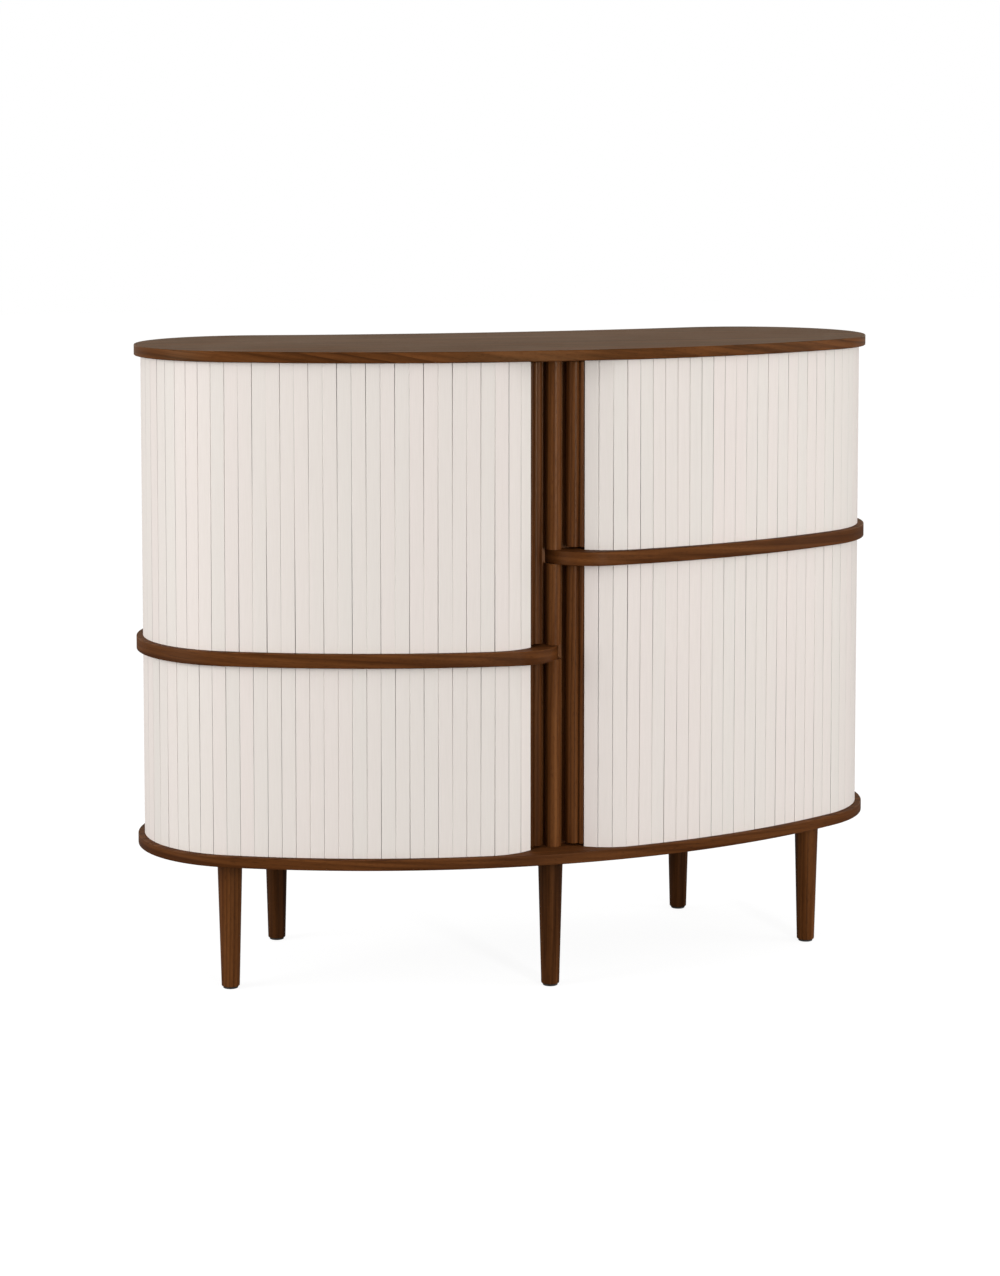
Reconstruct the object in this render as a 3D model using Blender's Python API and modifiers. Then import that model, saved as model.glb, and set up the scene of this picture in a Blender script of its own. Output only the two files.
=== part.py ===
"""Bow-fronted highboard with four tambour doors, built piece by piece.

Metres, +Z up. The front faces -Y and the origin is on the floor, in the middle
of the outline. The outline is symmetric, so places are worked out for the right
half (+X) and mirrored for the left one.
"""
import math

import bmesh
import bpy
from mathutils import Matrix, Vector

# Outline of the top and base panels, seen from above
WIDTH = 1.300
FRONT_RADIUS = 1.137
END_RADIUS = 0.2084
BACK_RADIUS = 2.012

# Heights, from the floor up
LEG_HEIGHT = 0.223
BASE_THICKNESS = 0.018
TALL_DOOR_HEIGHT = 0.475
SHORT_DOOR_HEIGHT = 0.316
SHELF_THICKNESS = 0.023
TOP_THICKNESS = 0.018

# Edges and gaps
EDGE_ROUND = 0.0015
EDGE_STEPS = 1
SEAT_GAP = 0.0003
OVERRUN = 0.010
ARC_SAGITTA = 0.0002
MERGE_DISTANCE = 0.00001
BEVEL_ANGLE_DEG = 40
SMOOTH_ANGLE_DEG = 30
FLAT_ANGLE_DEG = 0.1

# Tambour curtains: flat slats on a backing cloth
LEDGE = 0.011
SLAT_THICKNESS = 0.008
SLAT_PITCH_WANTED = 0.0233
SLAT_GAP = 0.0012
CLOTH_THICKNESS = 0.001
HEAD_GAP = 0.0010
TENON_THICKNESS = 0.0034
TENON_LENGTH = 0.0030
TENON_ROOT = 0.0040
TENON_WIDTH_SHARE = 0.6
SLATS_PER_SECTION = 2
TURNING_SECTIONS = 5
TRAILING_ANGLE_DEG = 104.4

# Turn of the curtain's path towards the centre post
TURN_RADIUS = 0.105
TURN_START = 0.1208
TURN_ANGLE_DEG = 43.6

# Running grooves
GROOVE_WIDTH = 0.0050
GROOVE_DEPTH = 0.0040
GROOVE_LEAD = 0.020
GROOVE_END_ANGLE_DEG = 178.0

# Lead moulding of a door: a thin ridge and a main rib on one base
HANDLE_WIDTH = 0.0345
HANDLE_END_GAP = 0.0040
HANDLE_BASE_OUT = 0.0010
HANDLE_BACK = 0.0080
RIDGE_START = 0.0010
RIDGE_WIDTH = 0.0080
RIDGE_HEIGHT = 0.0035
RIB_START = 0.0110
RIB_HEIGHT = 0.0090
MOULDING_STEPS = 6

# Centre post and divider
POST_RADIUS = 0.0125
POST_FRONT_SETBACK = 0.0464
FLANGE_HALF_WIDTH = 0.032
FLANGE_SETBACK = 0.073
FLANGE_THICKNESS = 0.008
POST_STEPS = 10
DIVIDER_THICKNESS = 0.019
DIVIDER_BACK_INSET = 0.010
SHELF_CORNER_RADIUS = 0.085

# Back panels
RUN_GAP = 0.0015
BACK_THICKNESS = 0.009
BACK_START_DEG = 100.0

# Inner shelves of the tall compartments
INNER_SHELF_THICKNESS = 0.016
INNER_SHELF_SETBACK = 0.077
INNER_SHELF_HEIGHT_SHARE = 0.5
HOUSING_DEPTH = 0.004
DADO_DEPTH = 0.005
HOUSING_START_DEG = 112.0
NOTCH_GAP = 0.004

# Legs, their bolts and their glides
LEG_TOP_RADIUS = 0.021
LEG_FOOT_RADIUS = 0.01525
LEG_FOOT_ROUND = 0.002
LEG_STEPS = 24
FOOT_ROUND_STEPS = 2
BOLT_RADIUS = 0.004
BOLT_IN_LEG = 0.032
BOLT_IN_BASE = 0.011
BOLT_STEPS = 12
GLIDE_RADIUS = 0.0125
GLIDE_THICKNESS = 0.003
GLIDE_PIN_RADIUS = 0.0025
GLIDE_PIN_LENGTH = 0.010
FRONT_LEG_INSET = 0.0763
SIDE_LEG_INSET = 0.0765
SIDE_LEG_ANGLE_DEG = 35.3
BACK_LEG_INSET = 0.0270
BACK_LEG_ANGLE_DEG = 200.3

# Shape of the outline, worked out
FRONT_ANGLE = math.asin((WIDTH / 2 - END_RADIUS) / (FRONT_RADIUS - END_RADIUS))
DEPTH = FRONT_RADIUS - (FRONT_RADIUS - END_RADIUS) * math.cos(FRONT_ANGLE) + END_RADIUS
FRONT_CENTRE = Vector((0, FRONT_RADIUS - DEPTH / 2))
END_CENTRE = Vector((WIDTH / 2 - END_RADIUS, DEPTH / 2 - END_RADIUS))
BACK_ANGLE = math.asin(END_CENTRE.x / (BACK_RADIUS + END_RADIUS))
BACK_CENTRE = Vector((0, END_CENTRE.y + (BACK_RADIUS + END_RADIUS) * math.cos(BACK_ANGLE)))
FRONT_Y = -DEPTH / 2

# Heights, worked out
BASE_TOP = LEG_HEIGHT + BASE_THICKNESS
TOP_UNDERSIDE = BASE_TOP + TALL_DOOR_HEIGHT + SHELF_THICKNESS + SHORT_DOOR_HEIGHT
HEIGHT = TOP_UNDERSIDE + TOP_THICKNESS

# Path of the curtains, worked out
TRACK_INSET = LEDGE + SLAT_THICKNESS / 2
TRACK_FRONT_RADIUS = FRONT_RADIUS - TRACK_INSET
TRACK_END_RADIUS = END_RADIUS - TRACK_INSET
TRACK_TURN_RADIUS = TURN_RADIUS - SLAT_THICKNESS / 2
TURN_START_ANGLE = math.asin(TURN_START / TRACK_FRONT_RADIUS)
TURN_CENTRE = FRONT_CENTRE + (TRACK_FRONT_RADIUS - TRACK_TURN_RADIUS) * Vector(
    (math.sin(TURN_START_ANGLE), -math.cos(TURN_START_ANGLE)))
TURN_LENGTH = TRACK_TURN_RADIUS * math.radians(TURN_ANGLE_DEG)
CORNER_LENGTH = TURN_LENGTH + TRACK_FRONT_RADIUS * (FRONT_ANGLE - TURN_START_ANGLE)
FRONT_SLATS = round(CORNER_LENGTH / SLAT_PITCH_WANTED)
SLAT_PITCH = CORNER_LENGTH / FRONT_SLATS
TURNING_SLATS = SLATS_PER_SECTION * TURNING_SECTIONS
LEADING_SLATS = FRONT_SLATS - TURNING_SLATS
END_SLATS = round((math.radians(TRAILING_ANGLE_DEG) - FRONT_ANGLE) * TRACK_END_RADIUS / SLAT_PITCH)
TRAVEL = TURNING_SLATS * SLAT_PITCH

# Post, divider and back, worked out
POST_CENTRE_Y = FRONT_Y + POST_FRONT_SETBACK + POST_RADIUS
FLANGE_FRONT_Y = FRONT_Y + FLANGE_SETBACK
FLANGE_BACK_Y = FLANGE_FRONT_Y + FLANGE_THICKNESS
FLANGE_MIDDLE_Y = FLANGE_FRONT_Y + FLANGE_THICKNESS / 2
DIVIDER_SIDE = DIVIDER_THICKNESS / 2
BACK_OUTER_INSET = LEDGE + SLAT_THICKNESS + RUN_GAP
BACK_INNER_INSET = BACK_OUTER_INSET + BACK_THICKNESS
HOUSING_INSET = BACK_INNER_INSET - HOUSING_DEPTH

PART_COLLECTION = "highboard"
CUTTER_COLLECTION = "cutters"
FINISHES = {
    "walnut": ((0.115, 0.047, 0.018, 1.0), 0.45, 0.0),
    "inner_walnut": ((0.150, 0.066, 0.028, 1.0), 0.55, 0.0),
    "slat_textile": ((0.770, 0.715, 0.660, 1.0), 0.90, 0.0),
    "zinc_steel": ((0.600, 0.600, 0.590, 1.0), 0.35, 1.0),
    "glide_plastic": ((0.030, 0.028, 0.026, 1.0), 0.60, 0.0),
}


def clear_scene():
    """Remove what the opened file holds."""
    for item in list(bpy.data.objects):
        bpy.data.objects.remove(item, do_unlink=True)
    for group in list(bpy.data.collections):
        bpy.data.collections.remove(group)


def collection(name):
    """The collection of that name, made when it is first asked for."""
    group = bpy.data.collections.get(name)
    if group is None:
        group = bpy.data.collections.new(name)
        bpy.context.scene.collection.children.link(group)
    return group


def material(name):
    """The named finish as a Principled material."""
    made = bpy.data.materials.get(name)
    if made is None:
        colour, roughness, metallic = FINISHES[name]
        made = bpy.data.materials.new(name)
        made.use_nodes = True
        shader = made.node_tree.nodes["Principled BSDF"]
        shader.inputs["Base Color"].default_value = colour
        shader.inputs["Roughness"].default_value = roughness
        shader.inputs["Metallic"].default_value = metallic
        made.diffuse_color = colour
    return made


def as_part(item, finish):
    """Put an object among the parts and give it a finish of its own."""
    collection(PART_COLLECTION).objects.link(item)
    own = material(finish).copy()
    own.name = item.name + "_" + finish
    item.data.materials.clear()
    item.data.materials.append(own)
    return item


def as_cutter(item):
    """Put an object among the cutters, out of sight."""
    collection(CUTTER_COLLECTION).objects.link(item)
    item.hide_render = True
    item.display_type = "WIRE"
    return item


def around(centre, radius, angle):
    """The point at an angle from straight ahead (-Y), turning towards +X."""
    return Vector((centre.x + radius * math.sin(angle), centre.y - radius * math.cos(angle)))


def arc(centre, radius, start, stop):
    """Points along an arc, close enough together to stay within the sagitta."""
    widest = 2 * math.acos(1 - ARC_SAGITTA / radius)
    count = max(1, math.ceil(abs(stop - start) / widest))
    return [around(centre, radius, start + (stop - start) * i / count) for i in range(count + 1)]


def without_doubles(points):
    """The points without those that repeat the one before."""
    kept = []
    for point in points:
        if not kept or (point - kept[-1]).length > MERGE_DISTANCE:
            kept.append(point)
    if (kept[0] - kept[-1]).length <= MERGE_DISTANCE:
        kept.pop()
    return kept


def mirrored(points, side):
    """The right half's points for a side: +1 keeps them, -1 mirrors them."""
    if side > 0:
        return list(points)
    return [Vector((-point.x, point.y)) for point in reversed(points)]


def prism(name, outline, low, high, origin=Vector((0, 0))):
    """A flat outline, extruded between two heights, as a mesh object."""
    points = without_doubles(outline)
    curve = bpy.data.curves.new(name, "CURVE")
    curve.dimensions = "2D"
    curve.fill_mode = "BOTH"
    curve.extrude = (high - low) / 2
    spline = curve.splines.new("POLY")
    spline.points.add(len(points) - 1)
    for spot, point in zip(spline.points, points):
        spot.co = (point.x - origin.x, point.y - origin.y, 0, 1)
    spline.use_cyclic_u = True
    drawn = bpy.data.objects.new(name + "_outline", curve)
    bpy.context.scene.collection.objects.link(drawn)
    drawn.location = (origin.x, origin.y, (low + high) / 2)
    bpy.context.view_layer.update()
    graph = bpy.context.evaluated_depsgraph_get()
    mesh = bpy.data.meshes.new_from_object(drawn.evaluated_get(graph))
    solid = bpy.data.objects.new(name, mesh)
    solid.matrix_world = drawn.matrix_world.copy()
    bpy.data.objects.remove(drawn, do_unlink=True)
    bpy.data.curves.remove(curve)
    weld(mesh)
    return solid


def weld(mesh):
    """Join the caps to the walls and leave each flat face in one piece."""
    shape = bmesh.new()
    shape.from_mesh(mesh)
    bmesh.ops.remove_doubles(shape, verts=shape.verts, dist=MERGE_DISTANCE)
    bmesh.ops.dissolve_limit(shape, angle_limit=math.radians(FLAT_ANGLE_DEG), verts=shape.verts,
                             edges=shape.edges)
    bmesh.ops.recalc_face_normals(shape, faces=shape.faces)
    shape.to_mesh(mesh)
    shape.free()
    mesh.shade_smooth()
    mesh.set_sharp_from_angle(angle=math.radians(SMOOTH_ANGLE_DEG))


def box(name, low, high):
    """A box between two corners, as a mesh object with its origin inside."""
    low, high = Vector(low), Vector(high)
    mesh = bpy.data.meshes.new(name)
    shape = bmesh.new()
    bmesh.ops.create_cube(shape, size=1)
    bmesh.ops.scale(shape, vec=high - low, verts=shape.verts)
    shape.to_mesh(mesh)
    shape.free()
    item = bpy.data.objects.new(name, mesh)
    item.location = (low + high) / 2
    return item


def turned(name, profile, steps, origin):
    """A profile of (radius, height) pairs, turned about the vertical axis."""
    mesh = bpy.data.meshes.new(name)
    shape = bmesh.new()
    corners = [shape.verts.new((radius, 0, height)) for radius, height in profile]
    for first, second in zip(corners, corners[1:]):
        shape.edges.new((first, second))
    shape.to_mesh(mesh)
    shape.free()
    item = bpy.data.objects.new(name, mesh)
    item.location = origin
    screw = item.modifiers.new("turn", "SCREW")
    screw.axis = "Z"
    screw.steps = steps
    screw.render_steps = steps
    screw.use_merge_vertices = True
    screw.merge_threshold = MERGE_DISTANCE
    screw.use_smooth_shade = True
    return item


def soften(item, width, segments):
    """Break the sharp edges of an object."""
    bevel = item.modifiers.new("rounded_edges", "BEVEL")
    bevel.width = width
    bevel.segments = segments
    bevel.limit_method = "ANGLE"
    bevel.angle_limit = math.radians(BEVEL_ANGLE_DEG)


def combine(item, other, operation):
    """Cut an object with another, or join the two."""
    boolean = item.modifiers.new(other.name, "BOOLEAN")
    boolean.operation = operation
    boolean.solver = "EXACT"
    boolean.object = as_cutter(other)


def track_point(length, offset):
    """A point on a right-hand curtain's path, from the textile's leading edge, and offset outwards."""
    if length < TURN_LENGTH:
        angle = TURN_START_ANGLE - (TURN_LENGTH - length) / TRACK_TURN_RADIUS
        return around(TURN_CENTRE, TRACK_TURN_RADIUS + offset, angle)
    if length < CORNER_LENGTH:
        angle = TURN_START_ANGLE + (length - TURN_LENGTH) / TRACK_FRONT_RADIUS
        return around(FRONT_CENTRE, TRACK_FRONT_RADIUS + offset, angle)
    angle = FRONT_ANGLE + (length - CORNER_LENGTH) / TRACK_END_RADIUS
    return around(END_CENTRE, TRACK_END_RADIUS + offset, angle)


def full_outline(inset):
    """The bean-shaped outline, all the way round."""
    front = arc(FRONT_CENTRE, FRONT_RADIUS - inset, 0, FRONT_ANGLE)
    end = arc(END_CENTRE, END_RADIUS - inset, FRONT_ANGLE, math.pi + BACK_ANGLE)
    back = arc(BACK_CENTRE, BACK_RADIUS + inset, BACK_ANGLE, 0)
    right = front + end + back
    left = mirrored(right, -1)
    return right + left


def shelf_outline():
    """A right-hand shelf board, whose front corner passes in front of the post."""
    corner_centre_x = SHELF_CORNER_RADIUS - POST_RADIUS
    reach = FRONT_RADIUS - SHELF_CORNER_RADIUS
    corner_angle = math.asin(corner_centre_x / reach)
    corner_centre = around(FRONT_CENTRE, reach, corner_angle)
    side_gap = DIVIDER_SIDE + SEAT_GAP
    corner_start = -math.acos((corner_centre.y - FLANGE_MIDDLE_Y) / SHELF_CORNER_RADIUS)
    points = arc(corner_centre, SHELF_CORNER_RADIUS, corner_start, corner_angle)
    points += arc(FRONT_CENTRE, FRONT_RADIUS, corner_angle, FRONT_ANGLE)
    points += arc(END_CENTRE, END_RADIUS, FRONT_ANGLE, math.pi + BACK_ANGLE)
    points += arc(BACK_CENTRE, BACK_RADIUS, BACK_ANGLE, math.asin(side_gap / BACK_RADIUS))
    points.append(Vector((side_gap, FLANGE_MIDDLE_Y)))
    return points


def back_strip(outer_inset, inner_inset, start, stop_x):
    """A strip that follows the end and the back of the outline between two insets."""
    outer = arc(END_CENTRE, END_RADIUS - outer_inset, start, math.pi + BACK_ANGLE)
    outer += arc(BACK_CENTRE, BACK_RADIUS + outer_inset, BACK_ANGLE,
                 math.asin(stop_x / (BACK_RADIUS + outer_inset)))
    inner = arc(END_CENTRE, END_RADIUS - inner_inset, start, math.pi + BACK_ANGLE)
    inner += arc(BACK_CENTRE, BACK_RADIUS + inner_inset, BACK_ANGLE,
                 math.asin(stop_x / (BACK_RADIUS + inner_inset)))
    return outer + inner[::-1]


def groove_outline():
    """The right-hand running groove, from under the lead moulding to the back."""
    half = GROOVE_WIDTH / 2
    end_angle = math.radians(GROOVE_END_ANGLE_DEG)
    start_angle = TURN_START_ANGLE - (TURN_LENGTH + GROOVE_LEAD) / TRACK_TURN_RADIUS
    edges = []
    for offset in (half, -half):
        edge = arc(TURN_CENTRE, TRACK_TURN_RADIUS + offset, start_angle, TURN_START_ANGLE)
        edge += arc(FRONT_CENTRE, TRACK_FRONT_RADIUS + offset, TURN_START_ANGLE, FRONT_ANGLE)
        edge += arc(END_CENTRE, TRACK_END_RADIUS + offset, FRONT_ANGLE, end_angle)
        edges.append(edge)
    return edges[0] + edges[1][::-1]


def cut_groove(item, side, face, upward):
    """Cut a running groove into one face of a board; upward tells that the face looks up."""
    low = face - GROOVE_DEPTH if upward else face - OVERRUN
    high = face + OVERRUN if upward else face + GROOVE_DEPTH
    name = item.name + ("_right" if side > 0 else "_left") + ("_upper" if upward else "_lower")
    combine(item, prism(name + "_groove", mirrored(groove_outline(), side), low, high), "DIFFERENCE")


def leg_places():
    """The five legs: their names and where they stand."""
    side = around(END_CENTRE, END_RADIUS - SIDE_LEG_INSET, math.radians(SIDE_LEG_ANGLE_DEG))
    back = around(END_CENTRE, END_RADIUS - BACK_LEG_INSET, math.radians(BACK_LEG_ANGLE_DEG))
    return {
        "front_left": Vector((-side.x, side.y)),
        "front_centre": Vector((0, FRONT_Y + FRONT_LEG_INSET)),
        "front_right": side,
        "back_left": Vector((-back.x, back.y)),
        "back_right": back,
    }


def make_base_panel():
    """The base panel with the lower grooves and a blind hole above each leg."""
    panel = prism("base_panel", full_outline(0), LEG_HEIGHT, BASE_TOP)
    soften(panel, EDGE_ROUND, EDGE_STEPS)
    for side in (1, -1):
        cut_groove(panel, side, BASE_TOP, True)
    for name, place in leg_places().items():
        hole = turned_cutter("hole_" + name, BOLT_RADIUS + SEAT_GAP, place,
                             LEG_HEIGHT - OVERRUN, LEG_HEIGHT + BOLT_IN_BASE + SEAT_GAP)
        combine(panel, hole, "DIFFERENCE")
    return as_part(panel, "walnut")


def turned_cutter(name, radius, place, low, high):
    """A round cutter between two heights."""
    profile = [(0, high), (radius, high), (radius, low), (0, low)]
    return turned(name, profile, BOLT_STEPS, (place.x, place.y, 0))


def make_top_panel():
    """The top panel with the upper grooves on its underside."""
    panel = prism("top_panel", full_outline(0), TOP_UNDERSIDE, HEIGHT)
    soften(panel, EDGE_ROUND, EDGE_STEPS)
    for side in (1, -1):
        cut_groove(panel, side, TOP_UNDERSIDE, False)
    return as_part(panel, "walnut")


def make_shelf_board(name, side, low):
    """A fixed shelf board, whose edge shows as the band between two doors; the post's flange passes its notch."""
    board = prism(name, mirrored(shelf_outline(), side), low, low + SHELF_THICKNESS)
    soften(board, EDGE_ROUND, EDGE_STEPS)
    ends = sorted((-side * (FLANGE_HALF_WIDTH + OVERRUN), side * (FLANGE_HALF_WIDTH + SEAT_GAP)))
    notch = box(name + "_notch", (ends[0], FLANGE_FRONT_Y, low - OVERRUN),
                (ends[1], FLANGE_BACK_Y + SEAT_GAP, low + SHELF_THICKNESS + OVERRUN))
    combine(board, notch, "DIFFERENCE")
    cut_groove(board, side, low, False)
    cut_groove(board, side, low + SHELF_THICKNESS, True)
    return as_part(board, "walnut")


def make_centre_post(board_lows):
    """The rounded post with its flange, notched where the shelf boards pass in front."""
    low, high = BASE_TOP + SEAT_GAP, TOP_UNDERSIDE - SEAT_GAP
    nose_centre = Vector((0, POST_CENTRE_Y))
    quarter = [around(nose_centre, POST_RADIUS, math.pi / 2 * i / POST_STEPS) for i in range(POST_STEPS + 1)]
    right = quarter + [Vector((POST_RADIUS, FLANGE_MIDDLE_Y))]
    post = prism("centre_post", mirrored(right, -1) + right, low, high)
    flange = box("post_flange", (-FLANGE_HALF_WIDTH, FLANGE_FRONT_Y, low),
                 (FLANGE_HALF_WIDTH, FLANGE_BACK_Y, high))
    combine(post, flange, "UNION")
    for board_low in board_lows:
        notch = box("post_notch", (-FLANGE_HALF_WIDTH - OVERRUN, FRONT_Y, board_low - SEAT_GAP),
                    (FLANGE_HALF_WIDTH + OVERRUN, FLANGE_FRONT_Y + SEAT_GAP,
                     board_low + SHELF_THICKNESS + SEAT_GAP))
        combine(post, notch, "DIFFERENCE")
    return as_part(post, "walnut")


def inner_shelf_low(compartment_low):
    """Height of an inner shelf's underside in its tall compartment."""
    return compartment_low + TALL_DOOR_HEIGHT * INNER_SHELF_HEIGHT_SHARE - INNER_SHELF_THICKNESS / 2


def inner_shelf_back_y():
    """Where an inner shelf ends in the divider's dado."""
    radius = BACK_RADIUS + HOUSING_INSET + SEAT_GAP
    inner_x = DIVIDER_SIDE - DADO_DEPTH + SEAT_GAP
    return around(BACK_CENTRE, radius, math.asin(inner_x / radius)).y


def make_divider(shelf_sides):
    """The upright divider behind the post, with a dado for each inner shelf."""
    outline_back = BACK_CENTRE.y - BACK_RADIUS
    divider = box("centre_divider", (-DIVIDER_SIDE, FLANGE_BACK_Y + SEAT_GAP, BASE_TOP + SEAT_GAP),
                  (DIVIDER_SIDE, outline_back - DIVIDER_BACK_INSET, TOP_UNDERSIDE - SEAT_GAP))
    for side, compartment_low in shelf_sides:
        low = inner_shelf_low(compartment_low)
        faces = sorted((side * (DIVIDER_SIDE - DADO_DEPTH), side * (DIVIDER_SIDE + OVERRUN)))
        dado = box("dado", (faces[0], FLANGE_BACK_Y + NOTCH_GAP - SEAT_GAP, low - SEAT_GAP),
                   (faces[1], inner_shelf_back_y() + SEAT_GAP, low + INNER_SHELF_THICKNESS + SEAT_GAP))
        combine(divider, dado, "DIFFERENCE")
    return as_part(divider, "inner_walnut")


def make_back_panel(name, side, low, high, shelf_low):
    """A curved back panel behind one compartment, housed out for the inner shelf if there is one."""
    strip = back_strip(BACK_OUTER_INSET, BACK_INNER_INSET, math.radians(BACK_START_DEG),
                       DIVIDER_SIDE + SEAT_GAP)
    panel = prism(name, mirrored(strip, side), low + SEAT_GAP, high - SEAT_GAP)
    if shelf_low is not None:
        start = math.radians(HOUSING_START_DEG) - SEAT_GAP / (END_RADIUS - HOUSING_INSET)
        housing = back_strip(HOUSING_INSET, BACK_INNER_INSET + OVERRUN, start, 0)
        cutter = prism(name + "_housing", mirrored(housing, side), shelf_low - SEAT_GAP,
                       shelf_low + INNER_SHELF_THICKNESS + SEAT_GAP)
        combine(panel, cutter, "DIFFERENCE")
    return as_part(panel, "walnut")


def make_inner_shelf(name, side, low):
    """An inner shelf, let into the divider and the back panel and clear of the moving curtain."""
    inner_x = DIVIDER_SIDE - DADO_DEPTH + SEAT_GAP
    notch_x = FLANGE_HALF_WIDTH + NOTCH_GAP
    notch_y = FLANGE_BACK_Y + NOTCH_GAP
    front_radius = FRONT_RADIUS - INNER_SHELF_SETBACK
    housed = HOUSING_INSET + SEAT_GAP
    housed_start = math.radians(HOUSING_START_DEG)
    points = [Vector((inner_x, notch_y)), Vector((notch_x, notch_y))]
    points += arc(FRONT_CENTRE, front_radius, math.asin(notch_x / front_radius), FRONT_ANGLE)
    points += arc(END_CENTRE, END_RADIUS - INNER_SHELF_SETBACK, FRONT_ANGLE, housed_start)
    points += arc(END_CENTRE, END_RADIUS - housed, housed_start, math.pi + BACK_ANGLE)
    points += arc(BACK_CENTRE, BACK_RADIUS + housed, BACK_ANGLE, math.asin(inner_x / (BACK_RADIUS + housed)))
    shelf = prism(name, mirrored(points, side), low, low + INNER_SHELF_THICKNESS)
    return as_part(shelf, "inner_walnut")


def make_leg(name, place):
    """A tapered leg with a bore for its bolt above and one for its glide's pin below."""
    top = LEG_HEIGHT - SEAT_GAP
    foot = GLIDE_THICKNESS + SEAT_GAP
    bore = BOLT_RADIUS + SEAT_GAP
    pin = GLIDE_PIN_RADIUS + SEAT_GAP
    bore_floor = LEG_HEIGHT - BOLT_IN_LEG - SEAT_GAP
    pin_ceiling = foot + GLIDE_PIN_LENGTH + SEAT_GAP
    profile = [(0, bore_floor), (bore, bore_floor), (bore, top), (LEG_TOP_RADIUS, top)]
    round_centre = LEG_FOOT_RADIUS - LEG_FOOT_ROUND
    for i in range(FOOT_ROUND_STEPS + 1):
        angle = math.pi / 2 * i / FOOT_ROUND_STEPS
        profile.append((round_centre + LEG_FOOT_ROUND * math.cos(angle),
                        foot + LEG_FOOT_ROUND * (1 - math.sin(angle))))
    profile += [(pin, foot), (pin, pin_ceiling), (0, pin_ceiling)]
    leg = turned("leg_" + name, profile, LEG_STEPS, (place.x, place.y, 0))
    return as_part(leg, "walnut")


def make_bolt(name, place):
    """The bolt that holds a leg to the base."""
    low = LEG_HEIGHT - BOLT_IN_LEG
    high = LEG_HEIGHT + BOLT_IN_BASE
    profile = [(0, high), (BOLT_RADIUS, high), (BOLT_RADIUS, low), (0, low)]
    return as_part(turned("leg_bolt_" + name, profile, BOLT_STEPS, (place.x, place.y, 0)), "zinc_steel")


def make_glide(name, place):
    """The plastic glide under a leg, with the pin that holds it."""
    pin_top = GLIDE_THICKNESS + GLIDE_PIN_LENGTH
    profile = [(0, pin_top), (GLIDE_PIN_RADIUS, pin_top), (GLIDE_PIN_RADIUS, GLIDE_THICKNESS),
               (GLIDE_RADIUS, GLIDE_THICKNESS), (GLIDE_RADIUS, 0), (0, 0)]
    return as_part(turned("glide_" + name, profile, LEG_STEPS, (place.x, place.y, 0)), "glide_plastic")


def section_outline(first, slats):
    """Slats side by side on their backing cloth, from a length along the path on."""
    face = SLAT_THICKNESS / 2
    cloth = CLOTH_THICKNESS - face
    front, back = [], []
    for i in range(slats):
        start = first + i * SLAT_PITCH + SLAT_GAP / 2
        stop = start + SLAT_PITCH - SLAT_GAP
        front += [track_point(start, cloth), track_point(start, face),
                  track_point(stop, face), track_point(stop, cloth)]
        back += [track_point(start, -face), track_point(stop, -face)]
    return front + back[::-1]


def section_pose(first, slats):
    """Middle and heading of a section that lies on the path."""
    last = first + slats * SLAT_PITCH
    start, stop = track_point(first, 0), track_point(last, 0)
    middle = ((start + stop) / 2 + track_point((first + last) / 2, 0)) / 2
    return middle, math.atan2(stop.y - start.y, stop.x - start.x)


def section_turn(first, slats):
    """The point a section turns about while the door opens, and the angle it turns by."""
    closed, closed_heading = section_pose(first, slats)
    opened, open_heading = section_pose(first + TRAVEL, slats)
    angle = open_heading - closed_heading
    step = opened - closed
    across = Vector((-step.y, step.x))
    return (closed + opened) / 2 + across / (2 * math.tan(angle / 2)), angle


def add_tenons(section, side, first, slats, low, high):
    """Tenons at the foot and the head of each slat from a length along the path on."""
    shift = (TENON_ROOT - TENON_LENGTH) / 2
    for end, height in (("foot", low + shift), ("head", high - shift)):
        mesh = bpy.data.meshes.new(section.name + "_" + end)
        shape = bmesh.new()
        for i in range(slats):
            centre, heading = section_pose(first + i * SLAT_PITCH, 1)
            made = bmesh.ops.create_cube(shape, size=1)["verts"]
            size = (SLAT_PITCH * TENON_WIDTH_SHARE, TENON_THICKNESS, TENON_LENGTH + TENON_ROOT)
            bmesh.ops.scale(shape, vec=size, verts=made)
            bmesh.ops.rotate(shape, verts=made, matrix=Matrix.Rotation(side * heading, 3, "Z"))
            bmesh.ops.translate(shape, verts=made, vec=(side * centre.x, centre.y, height))
        shape.to_mesh(mesh)
        shape.free()
        combine(section, bpy.data.objects.new(section.name + "_tenons_" + end, mesh), "UNION")


def make_section(name, side, first, slats, pole, low, high):
    """A rigid stretch of a curtain, with its origin on the axis it turns about."""
    axis = Vector((side * pole.x, pole.y))
    return prism(name, mirrored(section_outline(first, slats), side), low + SEAT_GAP, high - HEAD_GAP, axis)


def handle_outline():
    """Section of the lead moulding: a thin ridge beside the textile and a rounded main rib."""
    points = [track_point(-SEAT_GAP, -HANDLE_BACK), track_point(-SEAT_GAP, HANDLE_BASE_OUT)]
    rib_width = HANDLE_WIDTH - RIB_START
    for start, width, height in ((RIDGE_START, RIDGE_WIDTH, RIDGE_HEIGHT), (RIB_START, rib_width, RIB_HEIGHT)):
        for i in range(MOULDING_STEPS + 1):
            angle = math.pi * i / MOULDING_STEPS
            along = start + width * (1 - math.cos(angle)) / 2
            points.append(track_point(-along, HANDLE_BASE_OUT + height * math.sin(angle)))
    points.append(track_point(-HANDLE_WIDTH, -HANDLE_BACK))
    return points


def make_handle(name, side, low, high):
    """The lead moulding of a door, with its origin on the door's main axis."""
    outline = mirrored(handle_outline(), side)
    handle = prism(name, outline, low + HANDLE_END_GAP, high - HANDLE_END_GAP, FRONT_CENTRE)
    return as_part(handle, "walnut")


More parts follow.
